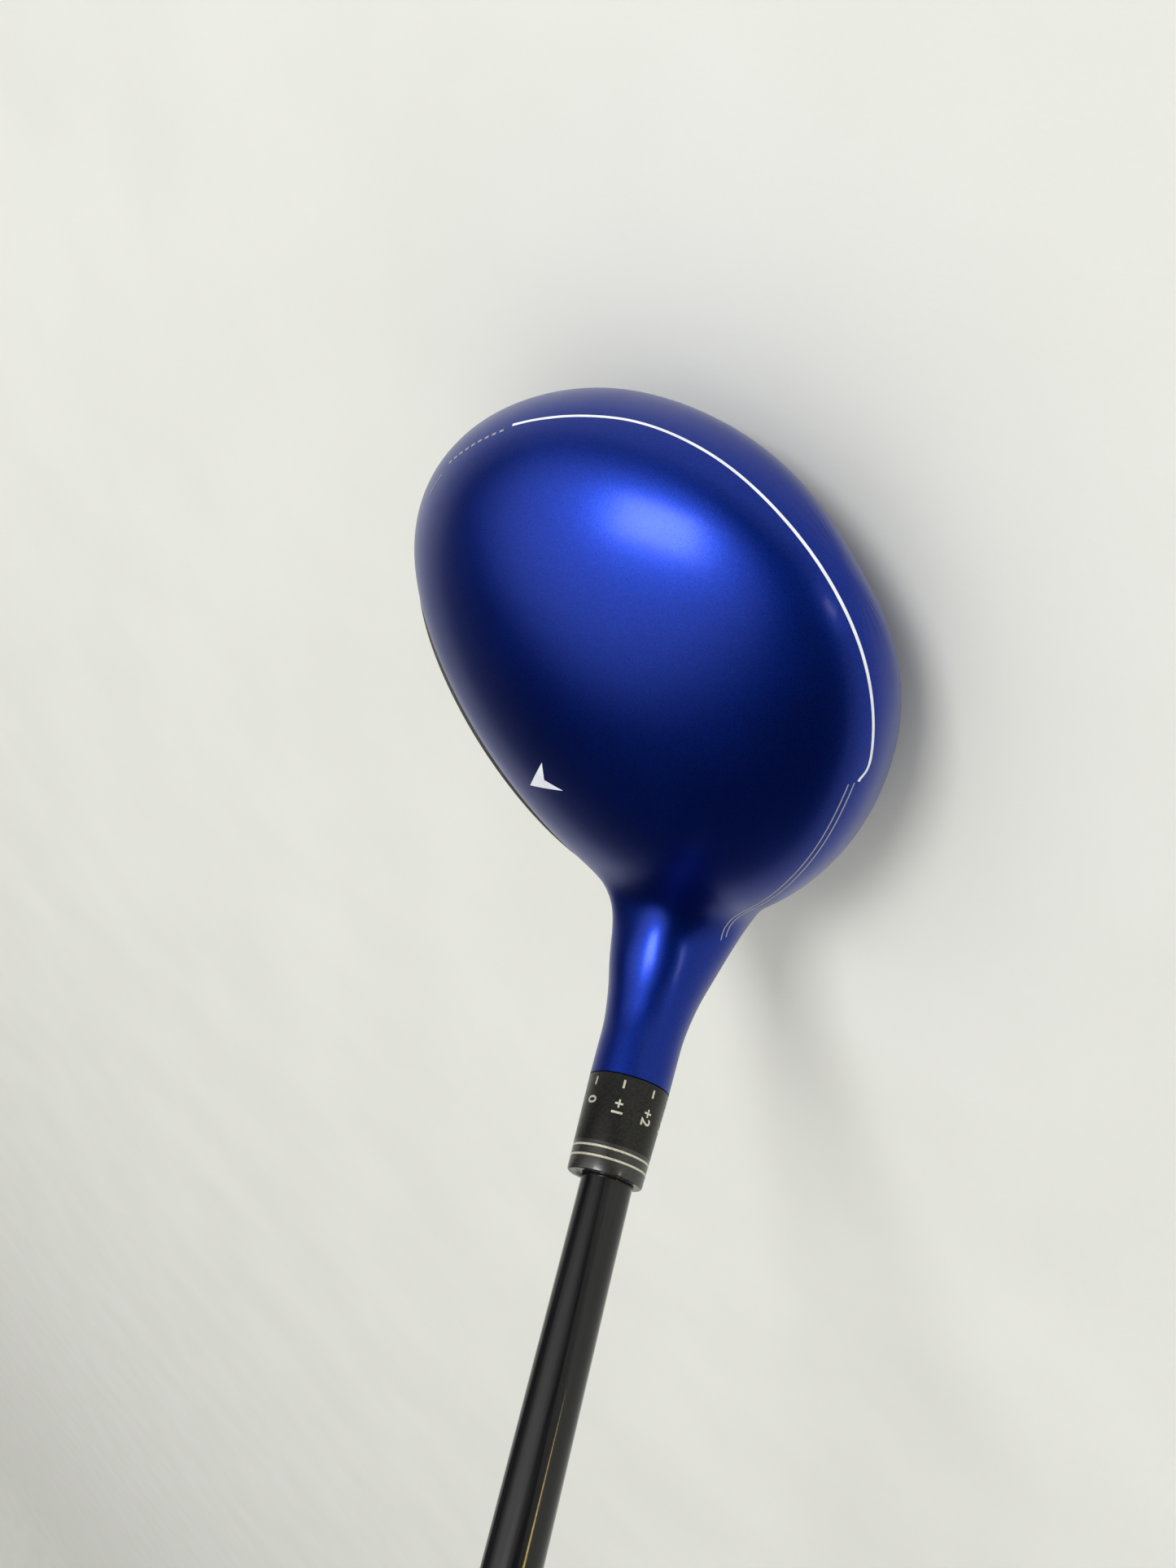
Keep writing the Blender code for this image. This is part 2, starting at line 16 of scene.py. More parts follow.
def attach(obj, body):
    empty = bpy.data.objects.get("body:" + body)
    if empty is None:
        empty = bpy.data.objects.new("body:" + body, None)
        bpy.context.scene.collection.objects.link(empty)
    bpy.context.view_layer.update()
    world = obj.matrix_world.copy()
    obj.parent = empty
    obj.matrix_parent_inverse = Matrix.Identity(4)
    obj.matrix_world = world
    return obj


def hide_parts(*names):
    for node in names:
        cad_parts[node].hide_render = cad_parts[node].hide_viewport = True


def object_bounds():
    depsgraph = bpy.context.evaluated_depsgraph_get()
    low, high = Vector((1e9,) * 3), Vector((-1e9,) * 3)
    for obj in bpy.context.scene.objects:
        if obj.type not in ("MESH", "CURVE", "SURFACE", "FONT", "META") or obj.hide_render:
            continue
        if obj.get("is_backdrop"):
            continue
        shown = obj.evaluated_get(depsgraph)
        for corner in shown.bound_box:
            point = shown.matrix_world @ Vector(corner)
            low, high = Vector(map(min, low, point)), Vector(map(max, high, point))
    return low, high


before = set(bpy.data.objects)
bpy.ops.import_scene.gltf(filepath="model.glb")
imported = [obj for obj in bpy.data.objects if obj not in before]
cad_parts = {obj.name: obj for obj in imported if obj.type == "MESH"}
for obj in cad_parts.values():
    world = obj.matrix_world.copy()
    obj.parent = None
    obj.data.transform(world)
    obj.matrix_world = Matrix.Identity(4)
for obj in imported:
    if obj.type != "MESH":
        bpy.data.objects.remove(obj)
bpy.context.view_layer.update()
MM = 0.001

# Head skin. The real head is a cast and rolled titanium shell, ground smooth and painted
# as one, so both of its walls are cut from one smooth skin: an egg of cross-sections with
# a neck drawn up out of the heel. Each row: y, toe x, heel x, top z, bottom z, widest z.
SECTIONS = (
    (-37.1, -39.7, 35.1, 38.9, 4.2, 20.2),
    (-33.6, -45.0, 41.4, 41.3, 1.9, 20.2),
    (-25.0, -48.7, 46.2, 43.5, 0.2, 20.2),
    (-15.4, -50.1, 47.6, 44.7, -0.6, 20.2),
    (-4.8, -49.7, 46.9, 44.9, -0.7, 20.2),
    (6.8, -46.5, 44.0, 43.0, -0.5, 19.8),
    (17.4, -40.5, 38.8, 39.4, 0.6, 19.4),
    (27.5, -30.6, 30.5, 34.2, 3.6, 19.1),
    (34.9, -19.4, 20.7, 28.7, 8.6, 18.7),
    (38.8, -7.9, 10.1, 23.3, 14.4, 18.4),
)
REAR_TIP = Vector((1.1, 39.9, 18.3))
RING_POINTS = 24
CROWN_FIRST = 1
CROWN_FIRST_AT_HOSEL = 3
CROWN_LAST = 10
HOSEL_ROWS = (1, 2)
HOSEL_COLUMNS = (-1, 0, 1, 2)
CROWN_POWER = 2.0 / 2.25
SOLE_POWER = 2.0 / 2.7
HEEL_DROP = 0.12
LOFT = math.radians(12.5)
BULGE = 300.0
ROLL = 290.0
FACE_FRONT = -37.1
FACE_MIDDLE = 21.5
LIE = math.radians(58.0)
HOSEL_FOOT = Vector((23.5, -24.5, 0.0))
HOSEL_AXIS = Vector((math.cos(LIE), 0.0, math.sin(LIE)))
HOSEL_TOP = 66.0
HOSEL_RADIUS = 6.95
NECK_RINGS = ((43.5, 10.4), (48.5, 8.7), (54.0, 7.7), (60.0, 7.3), (HOSEL_TOP, 7.2))
NECK_ROUND_FROM = 54.0
NECK_ROUND_BY = 58.0
NECK_FLARE = 0.012
NECK_ROOT_FROM = 33.0
NECK_ROOT_TO = 56.0
NECK_ROOT_REACH = 19.0
NECK_ROOT_PASSES = 14
SKIN_SUBDIVISIONS = 3
REARWARD = Vector((0.0, 1.0, 0.0))


def select_only(*pieces):
    """Leave just these pieces selected, the last one active, for the next operator."""
    bpy.ops.object.select_all(action="DESELECT")
    for piece in pieces:
        piece.select_set(True)
    bpy.context.view_layer.objects.active = pieces[-1]


def apply_modifier(piece, kind, **settings):
    modifier = piece.modifiers.new(kind.title(), kind)
    for setting, value in settings.items():
        setattr(modifier, setting, value)
    select_only(piece)
    bpy.ops.object.modifier_apply(modifier=modifier.name)


def new_piece(name, bm):
    """A finished bmesh, in millimetres, as an object at the origin."""
    bmesh.ops.scale(bm, vec=(MM, MM, MM), verts=bm.verts)
    mesh = bpy.data.meshes.new(name)
    bm.to_mesh(mesh)
    bm.free()
    piece = bpy.data.objects.new(name, mesh)
    bpy.context.scene.collection.objects.link(piece)
    return piece


def axis_sides(axis):
    """Two directions square to an axis; the first stays in the X-Z plane."""
    side = REARWARD.cross(axis)
    if side.length < 0.1:
        side = Vector((1.0, 0.0, 0.0))
    side.normalize()
    return side, axis.cross(side)


def spoke(axis, turn):
    """Unit direction square to an axis, at this angle round it."""
    side, across = axis_sides(axis)
    return side * math.cos(turn) + across * math.sin(turn)


def face_y(x, z):
    """Front surface of the face: bulge heel to toe, roll top to bottom, plus loft."""
    rise = z - FACE_MIDDLE
    bulge = x * x / (2.0 * BULGE)
    roll = rise * rise / (2.0 * ROLL)
    return FACE_FRONT + rise * math.tan(LOFT) + bulge + roll


def section_point(section, index):
    """One corner of the control cage on a cross-section ring."""
    y, toe, heel, top, bottom, widest = section
    turn = 2.0 * math.pi * index / RING_POINTS
    across = math.cos(turn)
    up = math.sin(turn)
    power = CROWN_POWER if up > 0.0 else SOLE_POWER
    half = (heel - toe) / 2.0
    x = (heel + toe) / 2.0 + half * math.copysign(abs(across) ** power, across)
    height = top - widest if up > 0.0 else widest - bottom
    if up > 0.0 and across > 0.0:
        height *= 1.0 - HEEL_DROP * across
    z = widest + height * math.copysign(abs(up) ** power, up)
    back = (y - FACE_FRONT) / (REAR_TIP.y - FACE_FRONT)
    y += (face_y(x, z) - FACE_FRONT) * (1.0 - back) ** 2
    return Vector((x, y, z))


def head_cage():
    """Control cage of the outer skin; crown faces carry material index 1, the rest 0."""
    bm = bmesh.new()
    rings = []
    for section in SECTIONS:
        points = [section_point(section, i) for i in range(RING_POINTS)]
        rings.append([bm.verts.new(point) for point in points])
    hosel_patch = {(j, i % RING_POINTS) for j in HOSEL_ROWS for i in HOSEL_COLUMNS}
    for j in range(len(rings) - 1):
        for i in range(RING_POINTS):
            if (j, i) in hosel_patch:
                continue
            k = (i + 1) % RING_POINTS
            face = bm.faces.new((rings[j][i], rings[j][k], rings[j + 1][k], rings[j + 1][i]))
            first = CROWN_FIRST_AT_HOSEL if j <= HOSEL_ROWS[-1] else CROWN_FIRST
            face.material_index = 1 if first <= i <= CROWN_LAST else 0
    pole = bm.verts.new(REAR_TIP)
    for i in range(RING_POINTS):
        face = bm.faces.new((rings[-1][i], rings[-1][(i + 1) % RING_POINTS], pole))
        face.material_index = 1 if CROWN_FIRST <= i <= CROWN_LAST else 0
    loop = [rings[1][i] for i in (-1, 0, 1, 2, 3)] + [rings[2][3]]
    loop += [rings[3][i] for i in (3, 2, 1, 0, -1)] + [rings[2][-1]]
    for i in (0, 1, 2):
        bm.verts.remove(rings[2][i])
    add_neck(bm, loop)
    return bm


def add_neck(bm, loop):
    """Carry the open patch in the heel up the hosel axis as rings of the same count."""
    side, across = axis_sides(HOSEL_AXIS)
    turns = []
    for vert in loop:
        offset = vert.co - HOSEL_FOOT
        turns.append(math.atan2(offset.dot(across), offset.dot(side)))
    step = 2.0 * math.pi / len(loop)
    if math.sin(turns[1] - turns[0]) < 0.0:
        step = -step
    drift_x = sum(math.cos(turn - k * step) for k, turn in enumerate(turns))
    drift_y = sum(math.sin(turn - k * step) for k, turn in enumerate(turns))
    start = math.atan2(drift_y, drift_x)
    previous = loop
    for station, radius in NECK_RINGS:
        middle = HOSEL_FOOT + HOSEL_AXIS * station
        ring = []
        for k in range(len(loop)):
            ring.append(bm.verts.new(middle + spoke(HOSEL_AXIS, start + k * step) * radius))
        for k in range(len(loop)):
            n = (k + 1) % len(loop)
            bm.faces.new((previous[k], previous[n], ring[n], ring[k]))
        previous = ring


cage = head_cage()
bmesh.ops.recalc_face_normals(cage, faces=cage.faces)
skin = new_piece("head_skin", cage)
apply_modifier(skin, "SUBSURF", levels=SKIN_SUBDIVISIONS, render_levels=SKIN_SUBDIVISIONS)
for vert in skin.data.vertices:
    vert.co.z = max(vert.co.z, 0.0)
    offset = vert.co / MM - HOSEL_FOOT
    station = offset.dot(HOSEL_AXIS)
    if station > NECK_ROUND_FROM:
        out = offset - HOSEL_AXIS * station
        target = HOSEL_RADIUS + NECK_FLARE * (HOSEL_TOP - station)
        blend = min((station - NECK_ROUND_FROM) / (NECK_ROUND_BY - NECK_ROUND_FROM), 1.0)
        length = out.length + (target - out.length) * blend
        vert.co = (HOSEL_FOOT + HOSEL_AXIS * station + out.normalized() * length) * MM

# Neck root. Where the neck leaves the heel the casting is blended by hand with a belt
# grinder, so the skin is eased there; the edge that meets the face is left as it is.
skin_bm = bmesh.new()
skin_bm.from_mesh(skin.data)
neck_root = []
for vert in skin_bm.verts:
    offset = vert.co / MM - HOSEL_FOOT
    station = offset.dot(HOSEL_AXIS)
    reach = (offset - HOSEL_AXIS * station).length
    near = NECK_ROOT_FROM < station < NECK_ROOT_TO and reach < NECK_ROOT_REACH
    if near and not vert.is_boundary:
        neck_root.append(vert)
for _ in range(NECK_ROOT_PASSES):
    bmesh.ops.smooth_vert(
        skin_bm, verts=neck_root, factor=0.5, use_axis_x=True, use_axis_y=True, use_axis_z=True
    )
skin_bm.normal_update()
skin_surface = BVHTree.FromBMesh(skin_bm)
skin_points = KDTree(len(skin_bm.verts))
skin_normals = []
for number, vert in enumerate(skin_bm.verts):
    skin_points.insert(vert.co, number)
    skin_normals.append(vert.normal.copy())
skin_points.balance()

# Head paint. Satin metallic blue with fine aluminium flake under a soft clear coat, sprayed
# over the crown, skirt, sole and neck after they are joined. The roughness drifts a
# little, as sprayed satin does, and the coat has a faint orange-peel ripple.


def new_finish(name, metallic, coat=0.0, coat_roughness=0.1):
    """A material, its shader, and the piece's own coordinates for its pattern."""
    material = bpy.data.materials.new(name)
    material.use_nodes = True
    shader = material.node_tree.nodes["Principled BSDF"]
    shader.inputs["Metallic"].default_value = metallic
    shader.inputs["Coat Weight"].default_value = coat
    shader.inputs["Coat Roughness"].default_value = coat_roughness
    coords = material.node_tree.nodes.new("ShaderNodeTexCoord")
    return material, shader, coords.outputs["Object"]


def add_node(material, kind, **inputs):
    """A node with some of its sockets set or wired; underscores stand for spaces."""
    node = material.node_tree.nodes.new(kind)
    for name, value in inputs.items():
        socket = node.inputs[name.replace("_", " ")]
        if isinstance(value, bpy.types.NodeSocket):
            material.node_tree.links.new(value, socket)
        else:
            socket.default_value = value
    return node


def grain(material, coords, size, detail=3.0):
    """Noise whose features are about this many millimetres across."""
    scale = 1.0 / (size * MM)
    return add_node(
        material, "ShaderNodeTexNoise", Vector=coords, Scale=scale, Detail=detail
    ).outputs["Fac"]


def spread(material, value, low, high, start=0.35, end=0.65):
    """Stretch a pattern between two numbers."""
    node = add_node(material, "ShaderNodeMapRange", Value=value)
    for socket, number in (("From Min", start), ("From Max", end)):
        node.inputs[socket].default_value = number
    node.inputs["To Min"].default_value = low
    node.inputs["To Max"].default_value = high
    return node.outputs["Result"]


def two_tone(material, value, dark, light, start=0.35, end=0.65):
    """Blend two colours by a pattern."""
    node = add_node(material, "ShaderNodeValToRGB", Fac=value)
    for stop, place, colour in zip(node.color_ramp.elements, (start, end), (dark, light)):
        stop.position = place
        stop.color = (*colour, 1.0)
    return node.outputs["Color"]


def wire(material, source, target):
    material.node_tree.links.new(source, target)


def emboss(material, shader, height, depth, strength=1.0, under=None):
    """Bump of this depth in millimetres, on top of an earlier bump if one is given."""
    bump = add_node(material, "ShaderNodeBump", Height=height, Distance=depth * MM)
    bump.inputs["Strength"].default_value = strength
    if under:
        wire(material, under, bump.inputs["Normal"])
    wire(material, bump.outputs["Normal"], shader.inputs["Normal"])
    return bump.outputs["Normal"]


def dress(piece, material, body, slot, *nodes):
    """Give a piece its finish, the CAD body it moves with, and the nodes it stands for."""
    piece.data.materials.clear()
    piece.data.materials.append(material)
    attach(piece, body)
    if nodes:
        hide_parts(*nodes)


paint, paint_shader, paint_coords = new_finish(
    "satin_blue_paint", metallic=0.94, coat=0.32, coat_roughness=0.22
)
paint_shader.inputs["Specular IOR Level"].default_value = 0.3
flake = add_node(
    paint, "ShaderNodeTexVoronoi", Vector=paint_coords, Scale=1.0 / (0.09 * MM)
).outputs["Color"]
flake_tone = add_node(paint, "ShaderNodeSeparateColor", Color=flake).outputs["Red"]
paint_colour = two_tone(
    paint, flake_tone, (0.0006, 0.0150, 0.215), (0.0014, 0.0300, 0.330), start=0.2, end=0.9
)
wire(paint, paint_colour, paint_shader.inputs["Base Color"])
drift = grain(paint, paint_coords, 16.0, detail=5.0)
wire(paint, spread(paint, drift, 0.34, 0.39), paint_shader.inputs["Roughness"])
peel = emboss(paint, paint_shader, grain(paint, paint_coords, 1.6, detail=2.0), 0.004)
emboss(paint, paint_shader, flake_tone, 0.0008, under=peel)

# Crown and body walls. The crown is a thin panel bonded into the body, the body is the
# cast cup with sole, skirt and neck; both are about a millimetre thick and painted over
# the joint. The body has a round port for the rear weight and one for the wrench.
SHELL = 1.0
WEIGHT_FOOT = Vector((-1.5, 17.0, 1.8))
WEIGHT_LEAN = math.radians(9.6)
WEIGHT_AXIS = Vector((0.0, -math.sin(WEIGHT_LEAN), math.cos(WEIGHT_LEAN)))
WEIGHT_PORT_RADIUS = 10.15
WRENCH_PORT_RADIUS = 6.0


def wall_piece(name, index):
    """One wall of the head: the skin's faces with one material index, thickened inwards."""
    bm = bmesh.new()
    outer = {}
    inner = {}
    edges = {}
    for face in skin_bm.faces:
        if face.material_index != index:
            continue
        for vert in face.verts:
            if vert not in outer:
                outer[vert] = bm.verts.new(vert.co / MM)
                inner[vert] = bm.verts.new(vert.co / MM - vert.normal * SHELL)
        bm.faces.new([outer[vert] for vert in face.verts])
        bm.faces.new([inner[vert] for vert in reversed(face.verts)])
        for edge in face.edges:
            edges[edge] = edges.get(edge, 0) + 1
    for edge, uses in edges.items():
        if uses == 1:
            a, b = edge.verts
            bm.faces.new((outer[a], outer[b], inner[b], inner[a]))
    bmesh.ops.recalc_face_normals(bm, faces=bm.faces)
    return new_piece(name, bm)


def turned(name, profile, foot, axis, steps=96, sharp=30.0):
    """A (radius, station) outline turned a full circle about an axis, as on a lathe."""
    side = axis_sides(axis)[0]
    points = [(foot + axis * station + side * radius) * MM for radius, station in profile]
    links = [(i, i + 1) for i in range(len(points) - 1)]
    if profile[0][0] > 0.0 and profile[-1][0] > 0.0:
        links.append((len(points) - 1, 0))
    mesh = bpy.data.meshes.new(name)
    mesh.from_pydata(points, links, [])
    piece = bpy.data.objects.new(name, mesh)
    bpy.context.scene.collection.objects.link(piece)
    select_only(piece)
    bpy.ops.object.mode_set(mode="EDIT")
    bpy.ops.mesh.select_all(action="SELECT")
    bpy.ops.mesh.spin(steps=steps, angle=2.0 * math.pi, center=foot * MM, axis=axis)
    bpy.ops.mesh.select_all(action="SELECT")
    bpy.ops.mesh.remove_doubles(threshold=0.002 * MM)
    bpy.ops.mesh.normals_make_consistent(inside=False)
    bpy.ops.object.mode_set(mode="OBJECT")
    bpy.ops.object.shade_smooth_by_angle(angle=math.radians(sharp))
    return piece


def cut_away(piece, *cutters):
    """Take helper solids away from a piece, then remove the helpers."""
    for cutter in cutters:
        apply_modifier(piece, "BOOLEAN", operation="DIFFERENCE", solver="EXACT", object=cutter)
        bpy.data.objects.remove(cutter, do_unlink=True)


def shade_as_one(piece):
    """Take the outer shading from the uncut skin, so that no seam shows in the paint."""
    normals = []
    verts = piece.data.vertices
    for face in piece.data.polygons:
        for corner in face.loop_indices:
            place = verts[piece.data.loops[corner].vertex_index].co
            number, distance = skin_points.find(place)[1:]
            normal = skin_normals[number]
            on_skin = distance < 0.002 * MM and normal.dot(face.normal) > 0.8
            normals.append(normal if on_skin else (0.0, 0.0, 0.0))
    piece.data.normals_split_custom_set(normals)


def port_cutter(name, radius, low, high, foot, axis):
    """A plug the size of a round hole, between two stations of its axis."""
    return turned(name, ((0.0, low), (radius, low), (radius, high), (0.0, high)), foot, axis)


crown_wall = wall_piece("crown_wall", 1)
body_wall = wall_piece("body_wall", 0)
cut_away(
    body_wall,
    port_cutter("weight_port", WEIGHT_PORT_RADIUS, -6.0, 8.0, WEIGHT_FOOT, WEIGHT_AXIS),
    port_cutter("wrench_port", WRENCH_PORT_RADIUS, -8.0, 16.0, HOSEL_FOOT, HOSEL_AXIS),
)
for wall, node in ((crown_wall, "crown_shell"), (body_wall, "body_shell")):
    select_only(wall)
    bpy.ops.object.shade_smooth_by_angle(angle=math.radians(40.0))
    shade_as_one(wall)
    dress(wall, paint, "head", "blue_paint", node)

# Painted lines round the crown. A white pinstripe runs round the back, just above the
# skirt, and two hair-thin silver lines carry on from it to the heel; a last short one
# sits at the toe. They are masked and sprayed, so they stand a hair above the blue.
LINE_RISE = 0.03
LINE_SINK = -0.05
PINSTRIPE_WIDTH = 0.5
HAIRLINE_WIDTH = 0.22


def smooth_route(points, steps=14):
    """Points on a smooth curve through the given ones."""
    ends = [points[0] * 2.0 - points[1]] + points + [points[-1] * 2.0 - points[-2]]
    route = []
    for a, b, c, d in zip(ends, ends[1:], ends[2:], ends[3:]):
        for k in range(steps):
            t = k / steps
            bend = (a * 2.0 - b * 5.0 + c * 4.0 - d) * t * t
            twist = (b * 3.0 - a - c * 3.0 + d) * t * t * t
            route.append((b * 2.0 + (c - a) * t + bend + twist) / 2.0)
    return route + [points[-1]]


def loft(bm, rows):
    """Faces between closed rows that have the same number of corners."""
    for low, high in zip(rows, rows[1:]):
        for i in range(len(low)):
            j = (i + 1) % len(low)
            bm.faces.new((low[i], low[j], high[j], high[i]))


def painted_line(bm, points, width):
    """A closed ribbon that lies on the head skin along a route, square at both ends."""
    route = smooth_route([Vector(point) for point in points])
    spots = [skin_surface.find_nearest(point * MM)[:2] for point in route]
    rows = []
    for k, (place, normal) in enumerate(spots):
        before = spots[max(k - 1, 0)][0]
        after = spots[min(k + 1, len(spots) - 1)][0]
        aside = normal.cross(after - before).normalized() * width / 2.0
        middle = place / MM
        row = []
        corners = ((1.0, LINE_RISE), (-1.0, LINE_RISE), (-1.0, LINE_SINK), (1.0, LINE_SINK))
        for edge, rise in corners:
            foot, up = skin_surface.find_nearest((middle + aside * edge) * MM)[:2]
            row.append(bm.verts.new(foot / MM + up * rise))
        rows.append(row)
    loft(bm, rows)
    bm.faces.new(rows[0])
    bm.faces.new(rows[-1])


def line_piece(name, lines):
    bm = bmesh.new()
    for points, width in lines:
        painted_line(bm, points, width)
    bmesh.ops.recalc_face_normals(bm, faces=bm.faces)
    piece = new_piece(name, bm)
    select_only(piece)
    bpy.ops.object.shade_smooth_by_angle(angle=math.radians(40.0))
    return piece


def mottled(name, metallic, tones, sizes, sheen, relief, details=(3.0, 3.0, 3.0), **coat):
    """A finish whose tone, sheen and relief each drift with a grain of their own size."""
    material, shader, coords = new_finish(name, metallic, **coat)
    tone, gloss, height = (grain(material, coords, *pair) for pair in zip(sizes, details))
    wire(material, two_tone(material, tone, *tones), shader.inputs["Base Color"])
    wire(material, spread(material, gloss, *sheen), shader.inputs["Roughness"])
    emboss(material, shader, height, relief)
    return material


white_tones = ((0.76, 0.79, 0.84), (0.88, 0.90, 0.94))
white = mottled(
    "white_line_paint", 0.0, white_tones, (4.0, 0.6, 0.5), (0.30, 0.42), 0.003, coat=0.3
)
silver_tones = ((0.30, 0.31, 0.36), (0.48, 0.49, 0.54))
silver = mottled(
    "silver_line_paint", 0.7, silver_tones, (0.15, 0.8, 0.3), (0.32, 0.46), 0.003, coat=0.3
)
PINSTRIPE = (
    (-43.9, 6.2, 28.3), (-38.3, 17.6, 25.1), (-33.5, 23.6, 23.0), (-27.3, 29.0, 21.9),
    (-18.6, 34.4, 21.6), (-2.0, 38.6, 21.8), (14.2, 36.6, 21.6), (27.1, 29.2, 22.0),
    (29.6, 26.2, 23.8),
)
HEEL_LINE = ((29.4, 26.0, 24.5), (37.4, 13.9, 26.8), (43.0, -2.0, 27.9), (47.0, -13.8, 29.8))
HEEL_LINE_GAP = 1.2
heel_line_above = [(x, y, z + HEEL_LINE_GAP) for x, y, z in HEEL_LINE]
TOE_LINE = ((-43.5, -15.7, 32.7), (-44.4, -13.2, 32.3), (-44.9, -10.7, 31.9))
pinstripe = line_piece("crown_pinstripe", [(PINSTRIPE, PINSTRIPE_WIDTH)])
dress(pinstripe, white, "head", "blue_paint")
hairlines = [(route, HAIRLINE_WIDTH) for route in (HEEL_LINE, heel_line_above, TOE_LINE)]
heel_lines = line_piece("heel_hairlines", hairlines)
dress(heel_lines, silver, "head", "blue_paint")

# Row of short dashes at the toe end of the pinstripe: a plain decorative break between the
# stripe and the short line at the toe, printed in the same silver as the hairlines.
TOE_DASHES = 9
DASH_LENGTH = 0.85
DASH_WIDTH = 0.45
DASHES_FROM = Vector((-45.4, -8.6, 30.9))
DASHES_TO = Vector((-44.0, 5.4, 29.0))
dashes = []
for k in range(TOE_DASHES):
    start = DASHES_FROM.lerp(DASHES_TO, k / TOE_DASHES)
    stop = start + (DASHES_TO - start).normalized() * DASH_LENGTH
    dashes.append(((start, start.lerp(stop, 0.5), stop), DASH_WIDTH))
toe_dashes = line_piece("toe_dashes", dashes)
dress(toe_dashes, silver, "head", "blue_paint")

# Alignment mark: a plain white arrowhead printed on top of the crown behind the face, so
# that the middle of the face can be aimed.
MARK_TIP = Vector((6.4, -21.5))
MARK_LENGTH = 8.5
MARK_HALF = 2.9
MARK_NOTCH = 5.6
MARK_STEPS = 12


def on_crown(spot, rise):
    """A point above the crown's outer surface, straight up from a plan position."""
    above = Vector((spot.x, spot.y, 80.0)) * MM
    place, normal = skin_surface.ray_cast(above, Vector((0.0, 0.0, -1.0)))[:2]
    return place / MM + normal * rise


mark_bm = bmesh.new()
rows = []
for k in range(MARK_STEPS + 1):
    share = k / MARK_STEPS
    row = []
    for side_sign in (-1.0, 1.0):
        outer_edge = MARK_TIP + Vector((side_sign * MARK_HALF, MARK_LENGTH)) * share
        inner_edge = MARK_TIP + Vector((0.0, MARK_NOTCH)) * share
        row += [outer_edge, inner_edge]
    rows.append(row)
for left, right in ((0, 1), (2, 3)):
    strips = []
    for row in rows:
        strips.append([
            mark_bm.verts.new(on_crown(row[left], LINE_RISE)),
            mark_bm.verts.new(on_crown(row[right], LINE_RISE)),
            mark_bm.verts.new(on_crown(row[right], LINE_SINK)),
            mark_bm.verts.new(on_crown(row[left], LINE_SINK)),
        ])
    loft(mark_bm, strips)
    mark_bm.faces.new(strips[-1])
bmesh.ops.remove_doubles(mark_bm, verts=mark_bm.verts, dist=0.001)
bmesh.ops.recalc_face_normals(mark_bm, faces=mark_bm.faces)
alignment_mark = new_piece("alignment_mark", mark_bm)
dress(alignment_mark, white, "head", "blue_paint")

# Face plate. Forged titanium, thinner at its edge, bulged and rolled, welded into the front
# of the body; its rim is polished round and shallow lines are milled beside the middle.
FACE_RIM = 1.1
FACE_THICK = 2.9
RIM_ROUND = 0.35
RIM_LAND = 1.3
RIM_STEPS = 4
NECK_MOUTH_LOW = 44.0
SCORE_PITCH = 3.6
SCORE_ROWS = 3
SCORE_WIDTH = 0.55
SCORE_DEPTH = 0.25
SCORE_STEPS = 12
SCORE_REACH = 26.0
SCORE_SHORTER = 0.9
PLAIN_TOE = -14.0
PLAIN_HEEL = 7.0
FACE_CENTRE = Vector((-3.5, 0.0, FACE_MIDDLE))
rim_edges = {}
for edge in skin_bm.edges:
    if edge.is_boundary and all(vert.co.z < NECK_MOUTH_LOW * MM for vert in edge.verts):
        for a, b in (edge.verts, reversed(edge.verts)):
            rim_edges.setdefault(a, []).append(b)
start = min(rim_edges, key=lambda vert: vert.co.x)
rim = [start, rim_edges[start][0]]
while rim[-1] is not start:
    rim.append(next(vert for vert in rim_edges[rim[-1]] if vert is not rim[-2]))
rim = [
    (vert.co / MM, Vector((vert.normal.x, 0.0, vert.normal.z)).normalized()) for vert in rim[:-1]
]
face_bm = bmesh.new()
face_rows = []


def face_ring(inset, back, share=1.0, surface=True):
    """A loop of the face plate: inset from the rim, or shrunk towards the middle."""
    ring = []
    for place, outwards in rim:
        point = place - outwards * inset
        point = FACE_CENTRE + (point - FACE_CENTRE) * share if share < 1.0 else point
        level = face_y(point.x, point.z) if surface else point.y
        ring.append(face_bm.verts.new(Vector((point.x, level + back, point.z))))
    face_rows.append(ring)


for share in (0.06, 0.18, 0.32, 0.46, 0.6, 0.74, 0.86, 0.95):
    face_ring(RIM_LAND, -FACE_RIM, share)
for k in range(RIM_STEPS + 1):
    turn = math.pi / 2.0 * k / RIM_STEPS
    face_ring(RIM_ROUND * (1.0 - math.sin(turn)), -FACE_RIM + RIM_ROUND * (1.0 - math.cos(turn)))
face_ring(0.0, -0.02, surface=False)
face_ring(SHELL + 0.25, -0.02, surface=False)
for share in (0.99, 0.65, 0.3):
    face_ring(SHELL + 0.35, FACE_THICK - FACE_RIM, share)
loft(face_bm, face_rows)
face_bm.faces.new(face_rows[0])
face_bm.faces.new(face_rows[-1])
bmesh.ops.recalc_face_normals(face_bm, faces=face_bm.faces)
striking_face = new_piece("striking_face", face_bm)
score_bm = bmesh.new()
